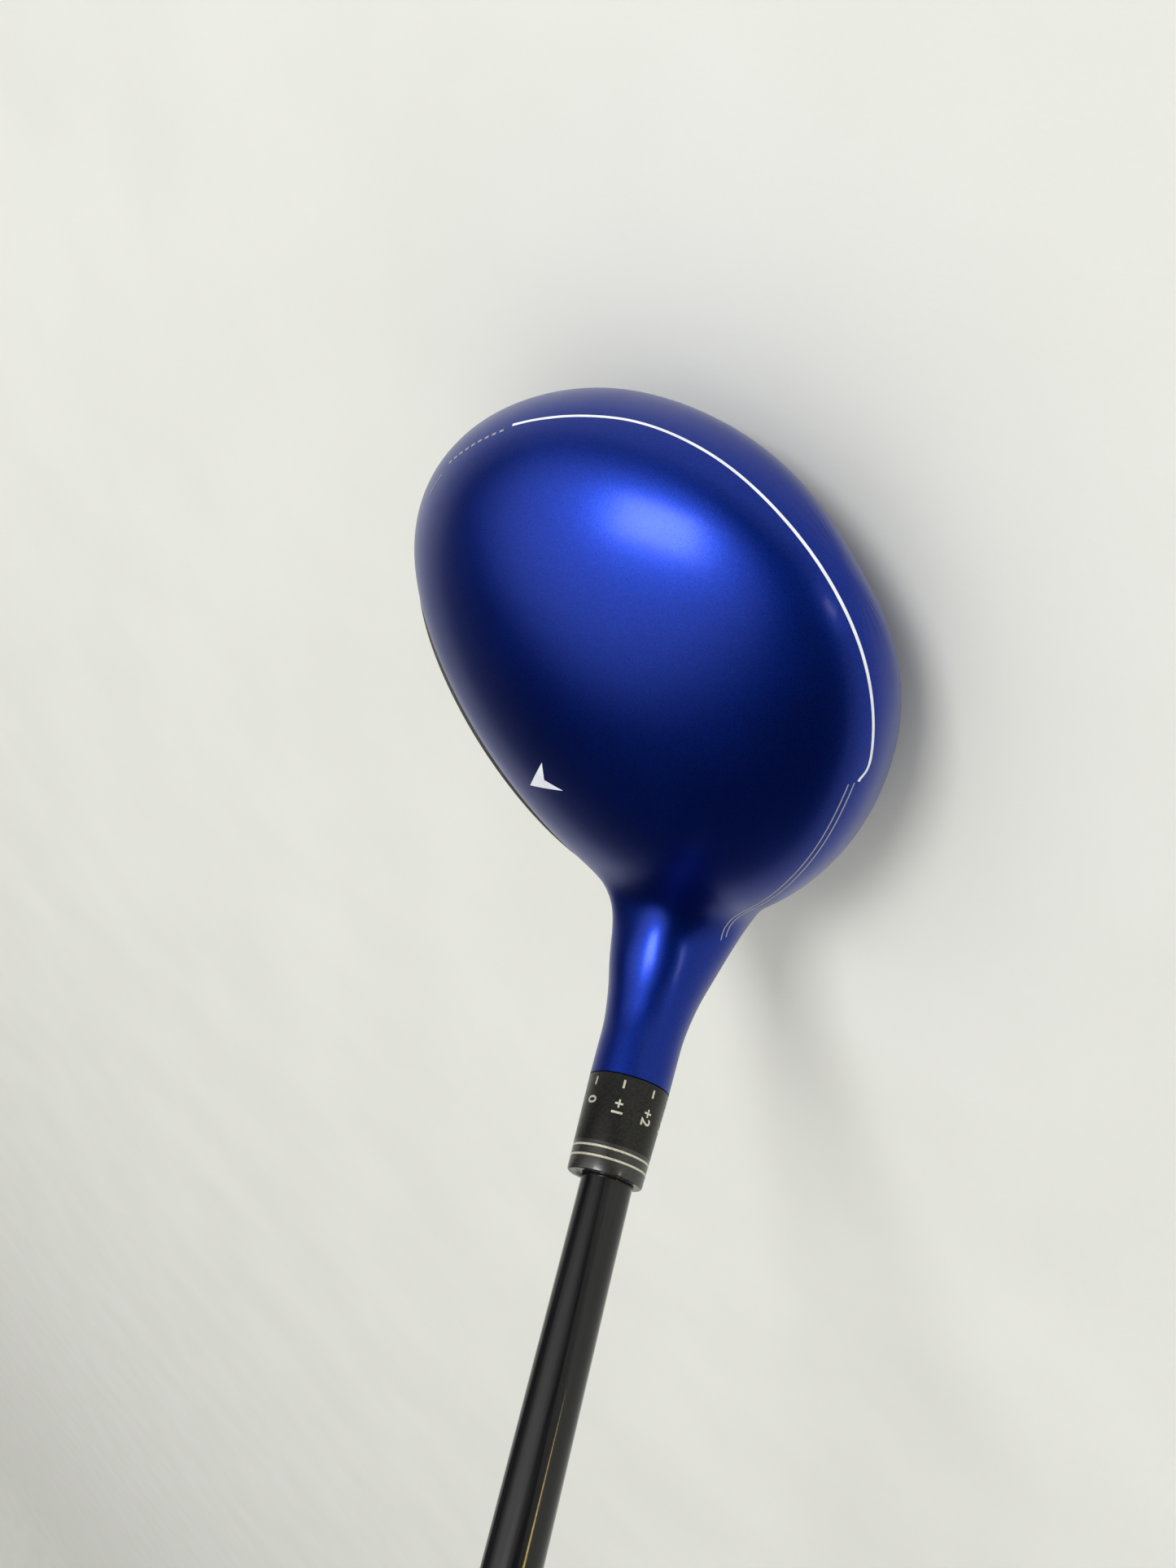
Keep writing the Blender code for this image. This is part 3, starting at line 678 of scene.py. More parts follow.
for row_number in range(-SCORE_ROWS, SCORE_ROWS + 1):
    z = FACE_MIDDLE + row_number * SCORE_PITCH
    reach = SCORE_REACH - SCORE_SHORTER * row_number * row_number
    ends = ((FACE_CENTRE.x - reach, PLAIN_TOE), (PLAIN_HEEL, FACE_CENTRE.x + reach))
    for x_from, x_to in ends:
        strips = []
        for k in range(SCORE_STEPS + 1):
            x = x_from + (x_to - x_from) * k / SCORE_STEPS
            corners = ((-0.5, 1.0), (0.5, 1.0), (0.3, -1.0), (-0.3, -1.0))
            strip = []
            for rise, out in corners:
                y = face_y(x, z) - FACE_RIM + (SCORE_DEPTH if out < 0.0 else -0.5)
                strip.append(score_bm.verts.new((x, y, z + rise * SCORE_WIDTH)))
            strips.append(strip)
        loft(score_bm, strips)
        score_bm.faces.new(strips[0])
        score_bm.faces.new(strips[-1])
bmesh.ops.recalc_face_normals(score_bm, faces=score_bm.faces)
cut_away(striking_face, new_piece("score_cutter", score_bm))
select_only(striking_face)
bpy.ops.object.shade_smooth_by_angle(angle=math.radians(35.0))

face_metal, face_shader, face_coords = new_finish("blasted_titanium", metallic=1.0)
face_tone = two_tone(
    face_metal, grain(face_metal, face_coords, 0.25), (0.30, 0.29, 0.27), (0.44, 0.43, 0.40)
)
wire(face_metal, face_tone, face_shader.inputs["Base Color"])
brushed_coords = add_node(
    face_metal, "ShaderNodeMapping", Vector=face_coords, Scale=(0.06, 1.0, 1.0)
).outputs["Vector"]
brush = grain(face_metal, brushed_coords, 0.12)
wire(face_metal, spread(face_metal, brush, 0.34, 0.50), face_shader.inputs["Roughness"])
brush_bump = emboss(face_metal, face_shader, brush, 0.012)
emboss(face_metal, face_shader, grain(face_metal, face_coords, 0.1), 0.006, under=brush_bump)
dress(striking_face, face_metal, "head", "face_metal", "face_plate")

# Hosel tube, weight cup and sole ribs. Cast and machined titanium parts of the inside of
# the head; they keep the frame's own solids and get a bare cast finish.
cast_tones = ((0.25, 0.24, 0.23), (0.42, 0.41, 0.39))
cast = mottled(
    "cast_titanium", 1.0, cast_tones, (0.9, 0.35, 0.3), (0.38, 0.60), 0.03, details=(3.0, 3.0, 6.0)
)


def dress_node(name, material):
    """Put a finish on a CAD node that stays in view."""
    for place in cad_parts[name].material_slots:
        place.material = material


for node in ("hosel_tube", "weight_boss", "sole_rib_toe", "sole_rib_mid", "sole_rib_heel"):
    dress_node(node, cast)

# Loft sleeve. Turned aluminium, black anodised: a barrel with splines at its foot goes into
# the neck, and the collar above it fills the step to the shaft. Its bore leans one degree,
# which is how turning the sleeve changes the loft.
SLEEVE_FOOT = 30.0
BARREL = 5.2
SLEEVE_SHOULDER = HOSEL_TOP + 0.15
SLEEVE_END = HOSEL_TOP + 11.4
SLEEVE_TAPER = (6.95 - 6.38) / 16.0
SPLINES = 12
SHAFT_PIVOT = 52.0
SHAFT_LEAN = math.radians(1.0)
SLEEVE_BORE = 2.6
TIP_RADIUS = 4.35
SHAFT_GLUE = 0.1
SHAFT_SEAT = 38.2
BORE_TOP = 90.0
LATHE_STRETCH = (0.15, 0.15, 6.0)
LATHE_RELIEF = 0.004


def collar_radius(station):
    return HOSEL_RADIUS - SLEEVE_TAPER * (station - HOSEL_TOP)


lean_to = (axis_sides(HOSEL_AXIS)[0] * 0.8 + REARWARD * 0.6).normalized()
SHAFT_AXIS = (HOSEL_AXIS * math.cos(SHAFT_LEAN) + lean_to * math.sin(SHAFT_LEAN)).normalized()
SHAFT_FOOT = HOSEL_FOOT + (HOSEL_AXIS - SHAFT_AXIS) * SHAFT_PIVOT
collar_low = collar_radius(SLEEVE_SHOULDER)
sleeve_profile = [
    (SLEEVE_BORE, SLEEVE_FOOT), (BARREL - 0.5, SLEEVE_FOOT), (BARREL, SLEEVE_FOOT + 0.5),
    (BARREL, SLEEVE_SHOULDER), (collar_low - 0.12, SLEEVE_SHOULDER),
    (collar_low - 0.03, SLEEVE_SHOULDER + 0.05), (collar_low, SLEEVE_SHOULDER + 0.15),
    (collar_radius(SLEEVE_END), SLEEVE_END), (SLEEVE_BORE, SLEEVE_END),
]
sleeve = turned("sleeve_barrel_and_collar", sleeve_profile, HOSEL_FOOT, HOSEL_AXIS)
shaft_bore = TIP_RADIUS + SHAFT_GLUE
bore = ((0.0, SHAFT_SEAT), (shaft_bore, SHAFT_SEAT), (shaft_bore, BORE_TOP), (0.0, BORE_TOP))


def block(name, place, spread_axis, long_axis, size):
    """A squared block at a place: its first side along one axis, its last along another."""
    sides = Matrix((spread_axis, long_axis.cross(spread_axis), long_axis)).transposed()
    scaled = Matrix.Diagonal((*(length * MM for length in size), 1.0))
    bpy.ops.mesh.primitive_cube_add(size=1.0)
    piece = bpy.context.object
    piece.name = name
    piece.data.transform(Matrix.Translation(place * MM) @ sides.to_4x4() @ scaled)
    return piece


grooves = []
for i in range(SPLINES):
    out = spoke(HOSEL_AXIS, 2.0 * math.pi * (i + 0.5) / SPLINES)
    place = HOSEL_FOOT + HOSEL_AXIS * (SLEEVE_FOOT + 1.5) + out * BARREL
    grooves.append(block("spline_groove", place, out, HOSEL_AXIS, (0.9, 1.1, 7.0)))
select_only(*grooves)
bpy.ops.object.join()
splines = bpy.context.object
cut_away(sleeve, turned("bore", bore, SHAFT_FOOT, SHAFT_AXIS, steps=80), splines)
select_only(sleeve)
bpy.ops.object.shade_smooth_by_angle(angle=math.radians(30.0))


def along_axis(material, coords, stretch):
    """Coordinates whose Z runs along the hosel, so that a pattern can follow the part."""
    stand_up = Euler((0.0, LIE - math.pi / 2.0, 0.0))
    upright = add_node(
        material, "ShaderNodeMapping", Vector=coords, Rotation=stand_up
    ).outputs["Vector"]
    return add_node(material, "ShaderNodeMapping", Vector=upright, Scale=stretch).outputs["Vector"]


def lathed(name, metallic, tones, size, sheen, **coat):
    """A turned finish: fine rings round the hosel axis in its sheen and its relief."""
    material, shader, coords = new_finish(name, metallic, **coat)
    tone = two_tone(material, grain(material, coords, size), *tones)
    wire(material, tone, shader.inputs["Base Color"])
    rings = grain(material, along_axis(material, coords, LATHE_STRETCH), size)
    wire(material, spread(material, rings, *sheen), shader.inputs["Roughness"])
    emboss(material, shader, rings, LATHE_RELIEF)
    return material


anodised_tones = ((0.015, 0.015, 0.014), (0.028, 0.027, 0.025))
anodised = lathed("black_anodised", 0.7, anodised_tones, 0.4, (0.24, 0.34))
dress(sleeve, anodised, "club", "black_anodised", "loft_sleeve")

# Dial marks on the collar: eight ticks under the joint with the neck, one every 45 degrees,
# and the loft change in degrees under each, engraved and filled in champagne.
DIAL_LABELS = ("+1", "+2", "+1", "0", "-1", "-2", "-1", "0")
DIAL_START = math.radians(130.0)
TICK_FROM = 1.0
TICK_LENGTH = 1.4
TICK_WIDTH = 0.36
LABEL_FROM = 4.2
LABEL_HEIGHT = 1.95
CAPITAL_SHARE = 0.72
MARK_SINK = 0.02
marks = []
for number, label in enumerate(DIAL_LABELS):
    turn = DIAL_START - number * 2.0 * math.pi / len(DIAL_LABELS)
    middle = HOSEL_TOP + TICK_FROM + TICK_LENGTH / 2.0
    out = spoke(HOSEL_AXIS, turn)
    place = HOSEL_FOOT + HOSEL_AXIS * middle + out * (collar_radius(middle) - MARK_SINK)
    marks.append(block("tick", place, out, HOSEL_AXIS, (0.1, TICK_WIDTH, TICK_LENGTH)))
    bpy.ops.object.text_add()
    words = bpy.context.object
    words.data.body = label
    words.data.size = LABEL_HEIGHT / CAPITAL_SHARE
    words.data.offset = 0.045
    words.data.extrude = 0.05
    select_only(words)
    bpy.ops.object.convert(target="MESH")
    words = bpy.context.object
    bpy.ops.object.mode_set(mode="EDIT")
    bpy.ops.mesh.select_all(action="SELECT")
    bpy.ops.mesh.remove_doubles(threshold=0.001)
    bpy.ops.mesh.subdivide(number_cuts=2)
    bpy.ops.object.mode_set(mode="OBJECT")
    for vert in words.data.vertices:
        station = HOSEL_TOP + LABEL_FROM + vert.co.x
        radius = collar_radius(station) + vert.co.z - MARK_SINK
        around = turn - (vert.co.y - LABEL_HEIGHT / 2.0) / radius
        vert.co = (HOSEL_FOOT + HOSEL_AXIS * station + spoke(HOSEL_AXIS, around) * radius) * MM
    marks.append(words)
select_only(*marks)
bpy.ops.object.join()
dial_marks = bpy.context.object
dial_marks.name = "dial_marks"
champagne_tones = ((0.56, 0.53, 0.42), (0.72, 0.69, 0.57))
champagne = mottled(
    "champagne_metal", 0.55, champagne_tones, (0.3, 0.15, 0.1), (0.30, 0.44), 0.003
)
dress(dial_marks, champagne, "club", "champagne_metal")

# Ferrule: a moulded black plastic collar that carries the sleeve's taper on to the shaft,
# turned flush, with two shallow grooves for the thin metal trim rings.
FERRULE_END = HOSEL_TOP + 16.2
RING_STATIONS = (78.06, 79.66)
RING_WIDTH = 0.4
RING_DEPTH = 0.35
FIT = 0.02
ferrule_foot = SLEEVE_END + 0.03
ferrule_profile = [(SLEEVE_BORE, ferrule_foot), (collar_radius(SLEEVE_END), ferrule_foot)]
groove_floor = RING_DEPTH + 0.03
groove_end = RING_WIDTH + FIT
for station in RING_STATIONS:
    for edge, depth in (
        (-FIT, 0.0), (-FIT, groove_floor), (groove_end, groove_floor), (groove_end, 0.0)
    ):
        ferrule_profile.append((collar_radius(station + edge) - depth, station + edge))
ferrule_profile.append((collar_radius(FERRULE_END - 0.3), FERRULE_END - 0.3))
ferrule_profile += [
    (collar_radius(FERRULE_END) - 0.06, FERRULE_END - 0.12),
    (collar_radius(FERRULE_END) - 0.22, FERRULE_END),
    (5.15, FERRULE_END), (4.75, FERRULE_END - 0.35), (SLEEVE_BORE, FERRULE_END - 0.4),
]
ferrule = turned("ferrule_collar", ferrule_profile, HOSEL_FOOT, HOSEL_AXIS)
cut_away(ferrule, turned("bore", bore, SHAFT_FOOT, SHAFT_AXIS, steps=80))
select_only(ferrule)
bpy.ops.object.shade_smooth_by_angle(angle=math.radians(30.0))
plastic_tones = ((0.016, 0.016, 0.015), (0.026, 0.026, 0.024))
plastic = lathed("black_moulded_plastic", 0.0, plastic_tones, 0.5, (0.22, 0.32), coat=0.2)
dress(ferrule, plastic, "club", "black_plastic", "ferrule")

# Trim rings: two thin bands of champagne metal, rolled, broken at their edges and pressed
# into the ferrule's grooves so that they stand a hair proud of it.
BAND_EDGE = 0.05
for level, station in zip(("lower", "upper"), RING_STATIONS):
    outer = collar_radius(station + RING_WIDTH / 2.0) + FIT
    band_end = station + RING_WIDTH
    inner = outer - RING_DEPTH
    band_profile = [
        (inner, station), (outer - BAND_EDGE, station), (outer, station + BAND_EDGE),
        (outer, band_end - BAND_EDGE), (outer - BAND_EDGE, band_end), (inner, band_end),
    ]
    band = turned(f"trim_band_{level}", band_profile, HOSEL_FOOT, HOSEL_AXIS, steps=120)
    dress(band, champagne, "trim_rings", "champagne_metal", f"trim_ring_{level}")

# Shaft: carbon fibre wound on a taper mandrel, sanded and lacquered gloss black. Its
# parallel tip is glued into the sleeve.
SHAFT_TIP = 38.5
SHAFT_BUTT = 1092.0
BUTT_RADIUS = 7.6
PARALLEL_TO = 95.0
GRIP_LENGTH = 267.0
GRIP_FROM = SHAFT_BUTT - GRIP_LENGTH
GRIP_TAPER = 0.6
TIP_WALL = 1.4
BUTT_WALL = 1.0
shaft_profile = [
    (TIP_RADIUS - TIP_WALL, SHAFT_TIP), (TIP_RADIUS - 0.2, SHAFT_TIP),
    (TIP_RADIUS, SHAFT_TIP + 0.3), (TIP_RADIUS, PARALLEL_TO),
    (BUTT_RADIUS - GRIP_TAPER, GRIP_FROM), (BUTT_RADIUS, SHAFT_BUTT),
    (BUTT_RADIUS - BUTT_WALL, SHAFT_BUTT), (BUTT_RADIUS - GRIP_TAPER - BUTT_WALL, GRIP_FROM),
    (TIP_RADIUS - TIP_WALL, PARALLEL_TO),
]
shaft_tube = turned("graphite_tube", shaft_profile, SHAFT_FOOT, SHAFT_AXIS, steps=96)
lacquer, lacquer_shader, lacquer_coords = new_finish(
    "gloss_black_lacquer", metallic=0.0, coat=0.6, coat_roughness=0.04
)
lacquer_shader.inputs["Specular IOR Level"].default_value = 0.1
weave = add_node(
    lacquer, "ShaderNodeMapping", Vector=along_axis(lacquer, lacquer_coords, (1.0, 1.0, 0.02))
).outputs["Vector"]
fibres = grain(lacquer, weave, 0.3)
lacquer_tone = two_tone(lacquer, fibres, (0.005, 0.005, 0.006), (0.010, 0.010, 0.011))
wire(lacquer, lacquer_tone, lacquer_shader.inputs["Base Color"])
wire(lacquer, spread(lacquer, fibres, 0.16, 0.26), lacquer_shader.inputs["Roughness"])
emboss(lacquer, lacquer_shader, fibres, 0.002)
dress(shaft_tube, lacquer, "club", "shaft_black", "shaft")

# Shaft flash: a slim gold stroke printed along the shaft under the lacquer. It widens from
# a point near the ferrule and thins out again towards the grip.
FLASH_FROM = 114.0
FLASH_WIDEST = 190.0
FLASH_TO = 470.0
FLASH_WIDTH = 0.95
FLASH_TURN = math.radians(103.0)
FLASH_STEPS = 60
FLASH_RISE = 0.02


def shaft_radius(station):
    share = max(station - PARALLEL_TO, 0.0) / (GRIP_FROM - PARALLEL_TO)
    return TIP_RADIUS + (BUTT_RADIUS - GRIP_TAPER - TIP_RADIUS) * share


flash_bm = bmesh.new()
strips = []
for k in range(FLASH_STEPS + 1):
    station = FLASH_FROM + (FLASH_TO - FLASH_FROM) * k / FLASH_STEPS
    rising = (station - FLASH_FROM) / (FLASH_WIDEST - FLASH_FROM)
    falling = (FLASH_TO - station) / (FLASH_TO - FLASH_WIDEST)
    half = max(min(rising, falling), 0.01) * FLASH_WIDTH / 2.0
    strip = []
    top_corners = [(edge, FLASH_RISE) for edge in (-1.0, 0.0, 1.0)]
    for edge, rise in top_corners + [(1.0, LINE_SINK), (-1.0, LINE_SINK)]:
        radius = shaft_radius(station) + rise
        out = spoke(SHAFT_AXIS, FLASH_TURN + edge * half / radius)
        strip.append(flash_bm.verts.new(SHAFT_FOOT + SHAFT_AXIS * station + out * radius))
    strips.append(strip)
loft(flash_bm, strips)
flash_bm.faces.new(strips[0])
flash_bm.faces.new(strips[-1])
bmesh.ops.recalc_face_normals(flash_bm, faces=flash_bm.faces)
flash = new_piece("shaft_flash", flash_bm)
select_only(flash)
bpy.ops.object.shade_smooth_by_angle(angle=math.radians(40.0))
gold_tones = ((0.24, 0.16, 0.045), (0.40, 0.29, 0.09))
gold_lacquer = {"coat": 1.0, "coat_roughness": 0.05}
gold = mottled(
    "gold_print", 0.8, gold_tones, (0.2, 0.4, 0.2), (0.26, 0.38), 0.002, **gold_lacquer
)
dress(flash, gold, "club", "shaft_black")

# Tip plug: a turned steel slug pushed into the shaft's tip, so that no glue runs up the
# tube. It keeps the frame's solid; the screws and the weight share its finish.
steel, steel_shader, steel_coords = new_finish("turned_steel", metallic=1.0)
steel_tone = two_tone(
    steel, grain(steel, steel_coords, 0.5), (0.24, 0.24, 0.25), (0.36, 0.36, 0.37)
)
wire(steel, steel_tone, steel_shader.inputs["Base Color"])
steel_lathed = add_node(
    steel, "ShaderNodeMapping", Vector=steel_coords, Scale=(0.2, 0.2, 4.0)
).outputs["Vector"]
steel_marks = grain(steel, steel_lathed, 0.3)
wire(steel, spread(steel, steel_marks, 0.26, 0.40), steel_shader.inputs["Roughness"])
emboss(steel, steel_shader, steel_marks, 0.006)
dress_node("tip_plug", steel)

# Grip: moulded rubber sleeve pushed over double-sided tape, with shallow rings for hold,
# closer together at both ends, and a cap that closes the butt round a small vent.
GRIP_HIGH = SHAFT_BUTT + 0.2
GRIP_MOUTH = 9.3
GRIP_HAND = 10.6
GRIP_BUTT = 12.9
HAND_SHARE = 0.45
MOUTH_ROUND = 0.6
ROUND_STEPS = 5
TAPE_ROOM = 0.3
GROOVES = 26
END_GROOVES = 3
END_PITCH = 1.8
GROOVE_DEPTH = 0.28
GROOVE_SHAPE = ((-0.45, 0.0), (-0.2, GROOVE_DEPTH), (0.2, GROOVE_DEPTH), (0.45, 0.0))


def under_grip(station):
    return BUTT_RADIUS - GRIP_TAPER * (SHAFT_BUTT - station) / GRIP_LENGTH


def grip_radius(station):
    """Quick taper up to the lower hand, then a steady one to the butt."""
    share = (station - GRIP_FROM) / (GRIP_HIGH - GRIP_FROM)
    low_part = min(share / HAND_SHARE, 1.0)
    high_part = max(share - HAND_SHARE, 0.0) / (1.0 - HAND_SHARE)
    return GRIP_MOUTH + (GRIP_HAND - GRIP_MOUTH) * low_part + (GRIP_BUTT - GRIP_HAND) * high_part


grip_profile = [
    (under_grip(GRIP_FROM) + TAPE_ROOM, GRIP_FROM), (GRIP_MOUTH - MOUTH_ROUND, GRIP_FROM)
]
for k in range(1, ROUND_STEPS + 1):
    turn = math.pi / 2.0 * k / ROUND_STEPS
    radius = GRIP_MOUTH - MOUTH_ROUND * (1.0 - math.sin(turn))
    grip_profile.append((radius, GRIP_FROM + MOUTH_ROUND * (1.0 - math.cos(turn))))
groove_at = [GRIP_FROM + 4.0 + END_PITCH * k for k in range(END_GROOVES)]
groove_pitch = (GRIP_LENGTH - 34.0) / GROOVES
groove_at += [GRIP_FROM + 16.0 + groove_pitch * k for k in range(GROOVES + 1)]
groove_at += [GRIP_HIGH - 9.0 + END_PITCH * k for k in range(END_GROOVES)]
for station in groove_at:
    for shift, depth in GROOVE_SHAPE:
        grip_profile.append((grip_radius(station + shift) - depth, station + shift))
grip_profile += [(GRIP_BUTT, GRIP_HIGH), (under_grip(GRIP_HIGH) + TAPE_ROOM, GRIP_HIGH)]
grip_sleeve = turned("grip_sleeve", grip_profile, SHAFT_FOOT, SHAFT_AXIS, steps=80)
CAP_LOW = SHAFT_BUTT + 0.3
CAP_OUTLINE = (
    (1.6, 0.0), (12.9, 0.0), (13.2, 0.3), (13.3, 0.9), (13.25, 2.0), (13.0, 3.0), (12.5, 3.8),
    (11.7, 4.2), (8.2, 4.2), (8.0, 3.9), (7.6, 3.9), (7.4, 4.2), (2.0, 4.2), (1.6, 3.8),
)
cap_profile = [(radius, CAP_LOW + rise) for radius, rise in CAP_OUTLINE]
butt_cap = turned("butt_cap", cap_profile, SHAFT_FOOT, SHAFT_AXIS, steps=80)
rubber, rubber_shader, rubber_coords = new_finish("moulded_rubber", metallic=0.0)
rubber_tone = two_tone(
    rubber, grain(rubber, rubber_coords, 2.0), (0.014, 0.014, 0.014), (0.026, 0.026, 0.025)
)
wire(rubber, rubber_tone, rubber_shader.inputs["Base Color"])
rubber_sheen = spread(rubber, grain(rubber, rubber_coords, 0.7), 0.62, 0.80)
wire(rubber, rubber_sheen, rubber_shader.inputs["Roughness"])
pips = add_node(
    rubber, "ShaderNodeTexVoronoi", Vector=rubber_coords, Scale=1.0 / (1.3 * MM), Randomness=0.15
).outputs["Distance"]
pip_bump = emboss(rubber, rubber_shader, pips, 0.22)
emboss(rubber, rubber_shader, grain(rubber, rubber_coords, 0.2), 0.05, under=pip_bump)
dress(grip_sleeve, rubber, "club", "grip_rubber", "grip")
dress(butt_cap, rubber, "club", "grip_rubber", "grip_cap")
tape_tones = ((0.62, 0.60, 0.53), (0.76, 0.74, 0.68))
tape = mottled("crepe_tape", 0.0, tape_tones, (0.5, 0.5, 0.5), (0.55, 0.72), 0.05)
dress_node("grip_tape", tape)

# Sleeve screw, its washer and the rear weight. Steel parts, turned, the screws broached
# with a hex socket: the long screw comes up through the sole port and pulls the sleeve
# down, and the round weight sits in its cup under a screw of its own.
SOCKET_FLATS = 4.0
SCREW_SHANK = 2.4
THREAD_ROOT = 2.05
THREAD_FROM = 29.4
THREAD_PITCH = 0.8
THREAD_TURNS = 8
WEIGHT_FACE = 0.15


def broached(name, profile, foot, axis, socket_low, socket_high):
    """A turned screw with a hex socket sunk in its head."""
    screw = turned(name, profile, foot, axis, steps=72)
    corner = SOCKET_FLATS / math.sqrt(3.0)
    socket = ((0.0, socket_low), (corner, socket_low), (corner, socket_high), (0.0, socket_high))
    cut_away(screw, turned("socket", socket, foot, axis, steps=6))
    select_only(screw)
    bpy.ops.object.shade_smooth_by_angle(angle=math.radians(30.0))
    return screw


sleeve_screw_profile = [
    (0.0, 20.6), (3.45, 20.6), (3.8, 20.75), (3.95, 21.0), (4.0, 21.3), (4.0, 24.95),
    (SCREW_SHANK, 24.95),
]
for k in range(THREAD_TURNS):
    low = THREAD_FROM + THREAD_PITCH * k
    sleeve_screw_profile += [(SCREW_SHANK, low), (THREAD_ROOT, low + THREAD_PITCH * 0.5)]
sleeve_screw_profile += [(SCREW_SHANK, 35.9), (1.9, 36.8), (0.0, 36.8)]
sleeve_bolt = broached("sleeve_bolt", sleeve_screw_profile, HOSEL_FOOT, HOSEL_AXIS, 19.0, 23.6)
SLUG_OUTLINE = (
    (2.3, 4.7), (7.8, 4.7), (8.0, 4.5), (8.0, 0.6), (7.85, 0.2), (7.5, 0.0), (5.6, 0.0),
    (5.45, 0.2), (5.15, 0.2), (5.0, 0.0), (4.3, 0.0), (4.1, 0.2), (4.1, 3.2), (2.3, 3.2),
)
slug_profile = [(radius, WEIGHT_FACE + rise) for radius, rise in SLUG_OUTLINE]
weight_slug = turned("weight_slug", slug_profile, WEIGHT_FOOT, WEIGHT_AXIS)
WEIGHT_BOLT_OUTLINE = (
    (0.0, 0.4), (3.4, 0.4), (3.75, 0.55), (3.9, 0.9), (3.9, 3.1), (1.95, 3.1), (1.95, 9.6),
    (1.5, 10.0), (0.0, 10.0),
)
bolt_profile = [(radius, WEIGHT_FACE + rise) for radius, rise in WEIGHT_BOLT_OUTLINE]
socket_low = WEIGHT_FACE - 1.0
socket_high = WEIGHT_FACE + 2.2
weight_bolt = broached(
    "weight_bolt", bolt_profile, WEIGHT_FOOT, WEIGHT_AXIS, socket_low, socket_high
)
dress(sleeve_bolt, steel, "sleeve_bolt", "screw_metal", "sleeve_screw")
dress(weight_slug, steel, "weight", "weight_metal", "sole_weight")
dress(weight_bolt, steel, "weight_bolt", "screw_metal", "weight_screw")
dress_node("screw_washer", steel)

# The skin was only a pattern for the head's walls and lines, so it goes.
bpy.data.objects.remove(skin, do_unlink=True)
skin_bm.free()

# Studio: a large pale floor that curves up far off, a big soft light over the toe side and
# a small warm one behind. Matt surfaces see an even glow; glossy ones see it as a soft
# overhead screen in a dark room, which leaves the heel side of the head in deep blue.
FLOOR_OUTLINE = (
    (0.0, 0.0), (900.0, 0.0), (5000.0, 0.0), (5600.0, 60.0), (6100.0, 300.0), (6400.0, 800.0),
    (6450.0, 1400.0),
)
UPRIGHT = Vector((0.0, 0.0, 1.0))
floor = turned("studio_floor", FLOOR_OUTLINE, Vector(), UPRIGHT, steps=64, sharp=60.0)
card_tones = ((0.74, 0.745, 0.690), (0.77, 0.775, 0.725))
card = mottled(
    "pale_card", 0.0, card_tones, (60.0, 1.5, 0.8), (0.55, 0.7), 0.03, details=(4.0, 3.0, 3.0)
)
floor.data.materials.append(card)
floor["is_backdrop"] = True

GLOW_FROM = Vector((-0.48, 0.14, 0.86)).normalized()
GLOW_EDGE = 0.80
GLOW_STRENGTH = 1.7
world = bpy.data.worlds.new("studio_glow")
bpy.context.scene.world = world
world.use_nodes = True
glow = world.node_tree
glow_coords = glow.nodes.new("ShaderNodeTexCoord")
glow_side = glow.nodes.new("ShaderNodeVectorMath")
glow_side.operation = "DOT_PRODUCT"
glow_side.inputs[1].default_value = GLOW_FROM
glow_ramp = glow.nodes.new("ShaderNodeValToRGB")
glow_ramp.color_ramp.interpolation = "EASE"
glow_ramp.color_ramp.elements[0].position = GLOW_EDGE
glow_ramp.color_ramp.elements[0].color = (0.012, 0.012, 0.015, 1.0)
glow_ramp.color_ramp.elements[1].position = 1.0
glow_ramp.color_ramp.elements[1].color = (1.0, 1.0, 0.99, 1.0)
glow.links.new(glow_coords.outputs["Generated"], glow_side.inputs[0])
glow_half = glow.nodes.new("ShaderNodeMath")
glow_half.operation = "MULTIPLY_ADD"
glow_half.inputs[1].default_value = 0.5
glow_half.inputs[2].default_value = 0.5
glow.links.new(glow_side.outputs["Value"], glow_half.inputs[0])
glow.links.new(glow_half.outputs["Value"], glow_ramp.inputs["Fac"])
glow.links.new(glow_ramp.outputs["Color"], glow.nodes["Background"].inputs["Color"])
glow.nodes["Background"].inputs["Strength"].default_value = GLOW_STRENGTH
even_glow = glow.nodes.new("ShaderNodeBackground")
even_glow.inputs["Color"].default_value = (0.70, 0.70, 0.69, 1.0)
ray = glow.nodes.new("ShaderNodeLightPath")
glow_mix = glow.nodes.new("ShaderNodeMixShader")
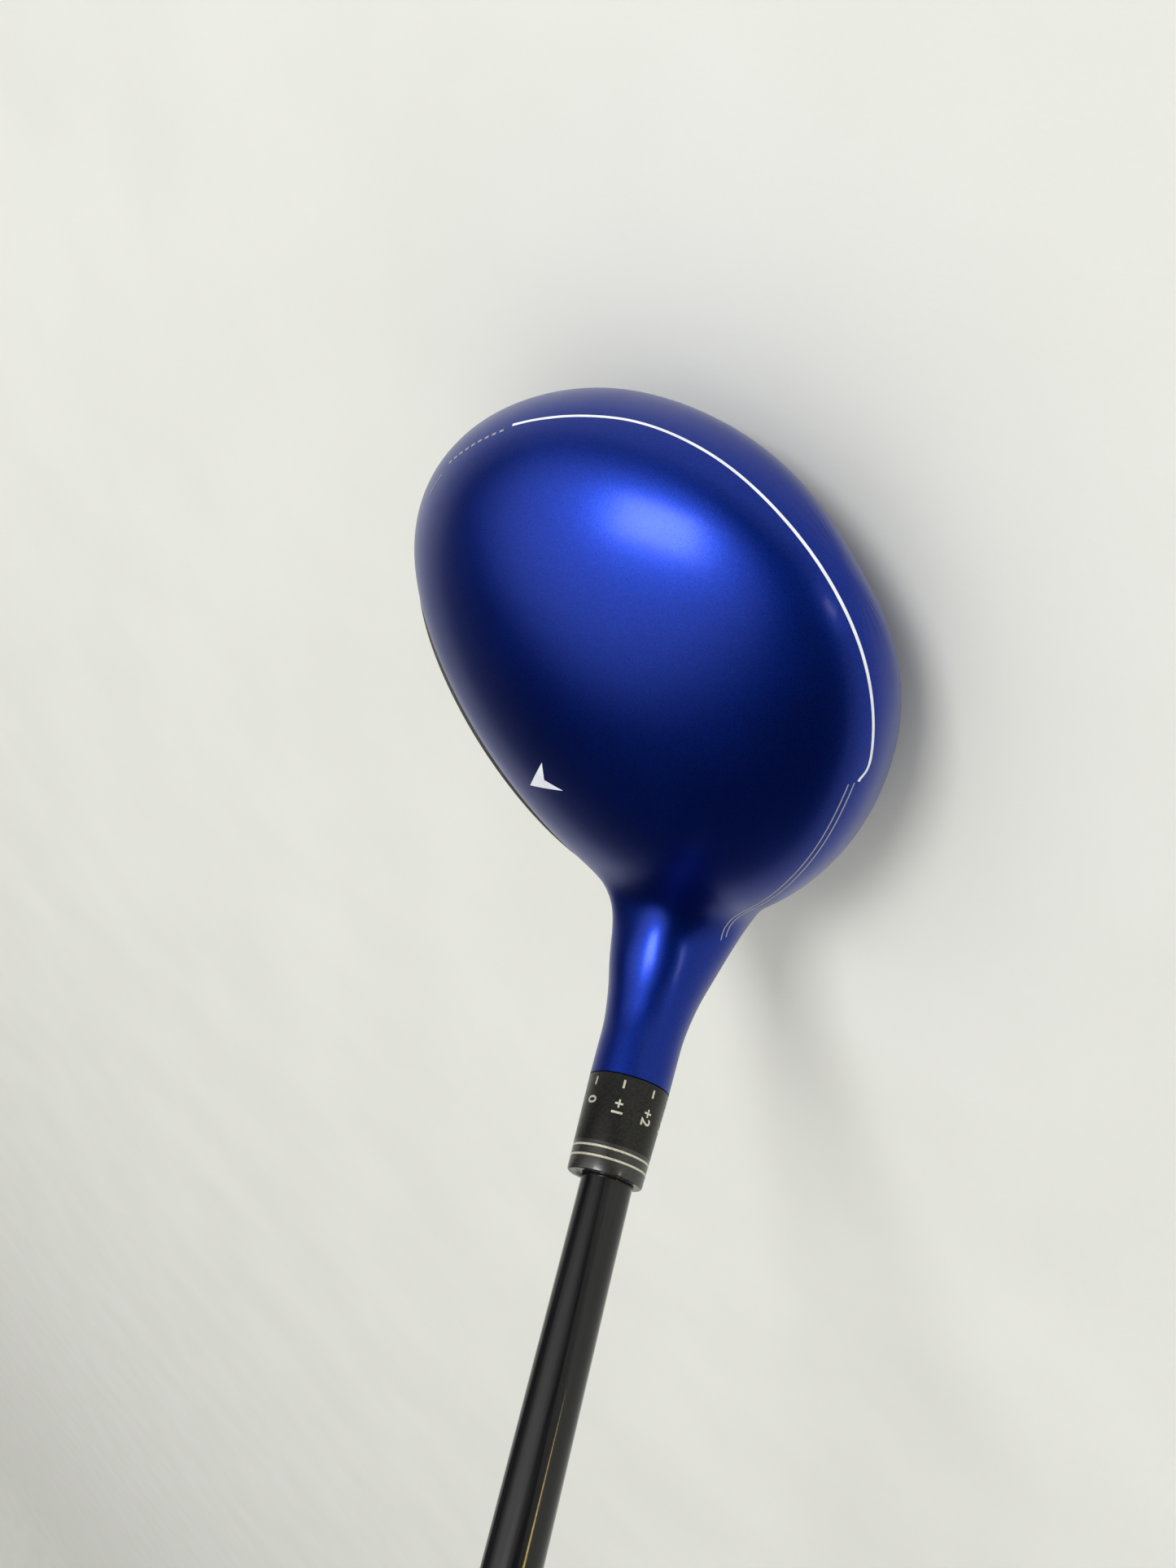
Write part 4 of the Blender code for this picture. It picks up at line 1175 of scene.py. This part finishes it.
glow.links.new(ray.outputs["Is Glossy Ray"], glow_mix.inputs["Fac"])
glow.links.new(even_glow.outputs["Background"], glow_mix.inputs[1])
glow.links.new(glow.nodes["Background"].outputs["Background"], glow_mix.inputs[2])
glow.links.new(glow_mix.outputs["Shader"], glow.nodes["World Output"].inputs["Surface"])


def soft_light(name, direction, distance, size, power, colour=(1.0, 1.0, 1.0)):
    """A square area light, this far from the head and facing it."""
    data = bpy.data.lights.new(name, "AREA")
    data.shape = "SQUARE"
    data.size = size
    data.energy = power
    data.color = colour
    lamp = bpy.data.objects.new(name, data)
    towards = Vector(direction).normalized()
    lamp.location = towards * distance + Vector((0.0, 0.0, 0.03))
    lamp.rotation_euler = towards.to_track_quat("Z", "Y").to_euler()
    bpy.context.scene.collection.objects.link(lamp)


soft_light("key_softbox", (-0.50, 0.40, 0.76), 3.0, 1.1, 50.0)
soft_light("rear_lamp", (0.24, 0.96, 0.10), 1.6, 0.10, 0.9, (1.0, 0.93, 0.82))

# Camera: close above the rear of the head, looking down the crown with the shaft running
# out of the bottom of the view.
LENS = 29.09
SENSOR_HEIGHT = 36.0
CAMERA_PLACE = Vector((-13.93, 155.9, 163.74))
CAMERA_LOOK = Vector((0.1173, -0.797, -0.5925)).normalized()
CAMERA_UP = Vector((-0.8438, 0.2346, -0.4827))
camera_data = bpy.data.cameras.new("view_camera")
camera_data.lens = LENS
camera_data.sensor_fit = "VERTICAL"
camera_data.sensor_height = SENSOR_HEIGHT
camera_data.clip_start = 0.005
camera_data.clip_end = 60.0
camera = bpy.data.objects.new("view_camera", camera_data)
bpy.context.scene.collection.objects.link(camera)
bpy.context.scene.camera = camera
across = CAMERA_LOOK.cross(CAMERA_UP).normalized()
turned_to = Matrix((across, across.cross(CAMERA_LOOK), -CAMERA_LOOK)).transposed()
camera.matrix_world = Matrix.Translation(CAMERA_PLACE * MM) @ turned_to.to_4x4()
bpy.context.scene.view_settings.view_transform = "Standard"

# This model's box: its low and high corners in metres.
low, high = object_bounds()
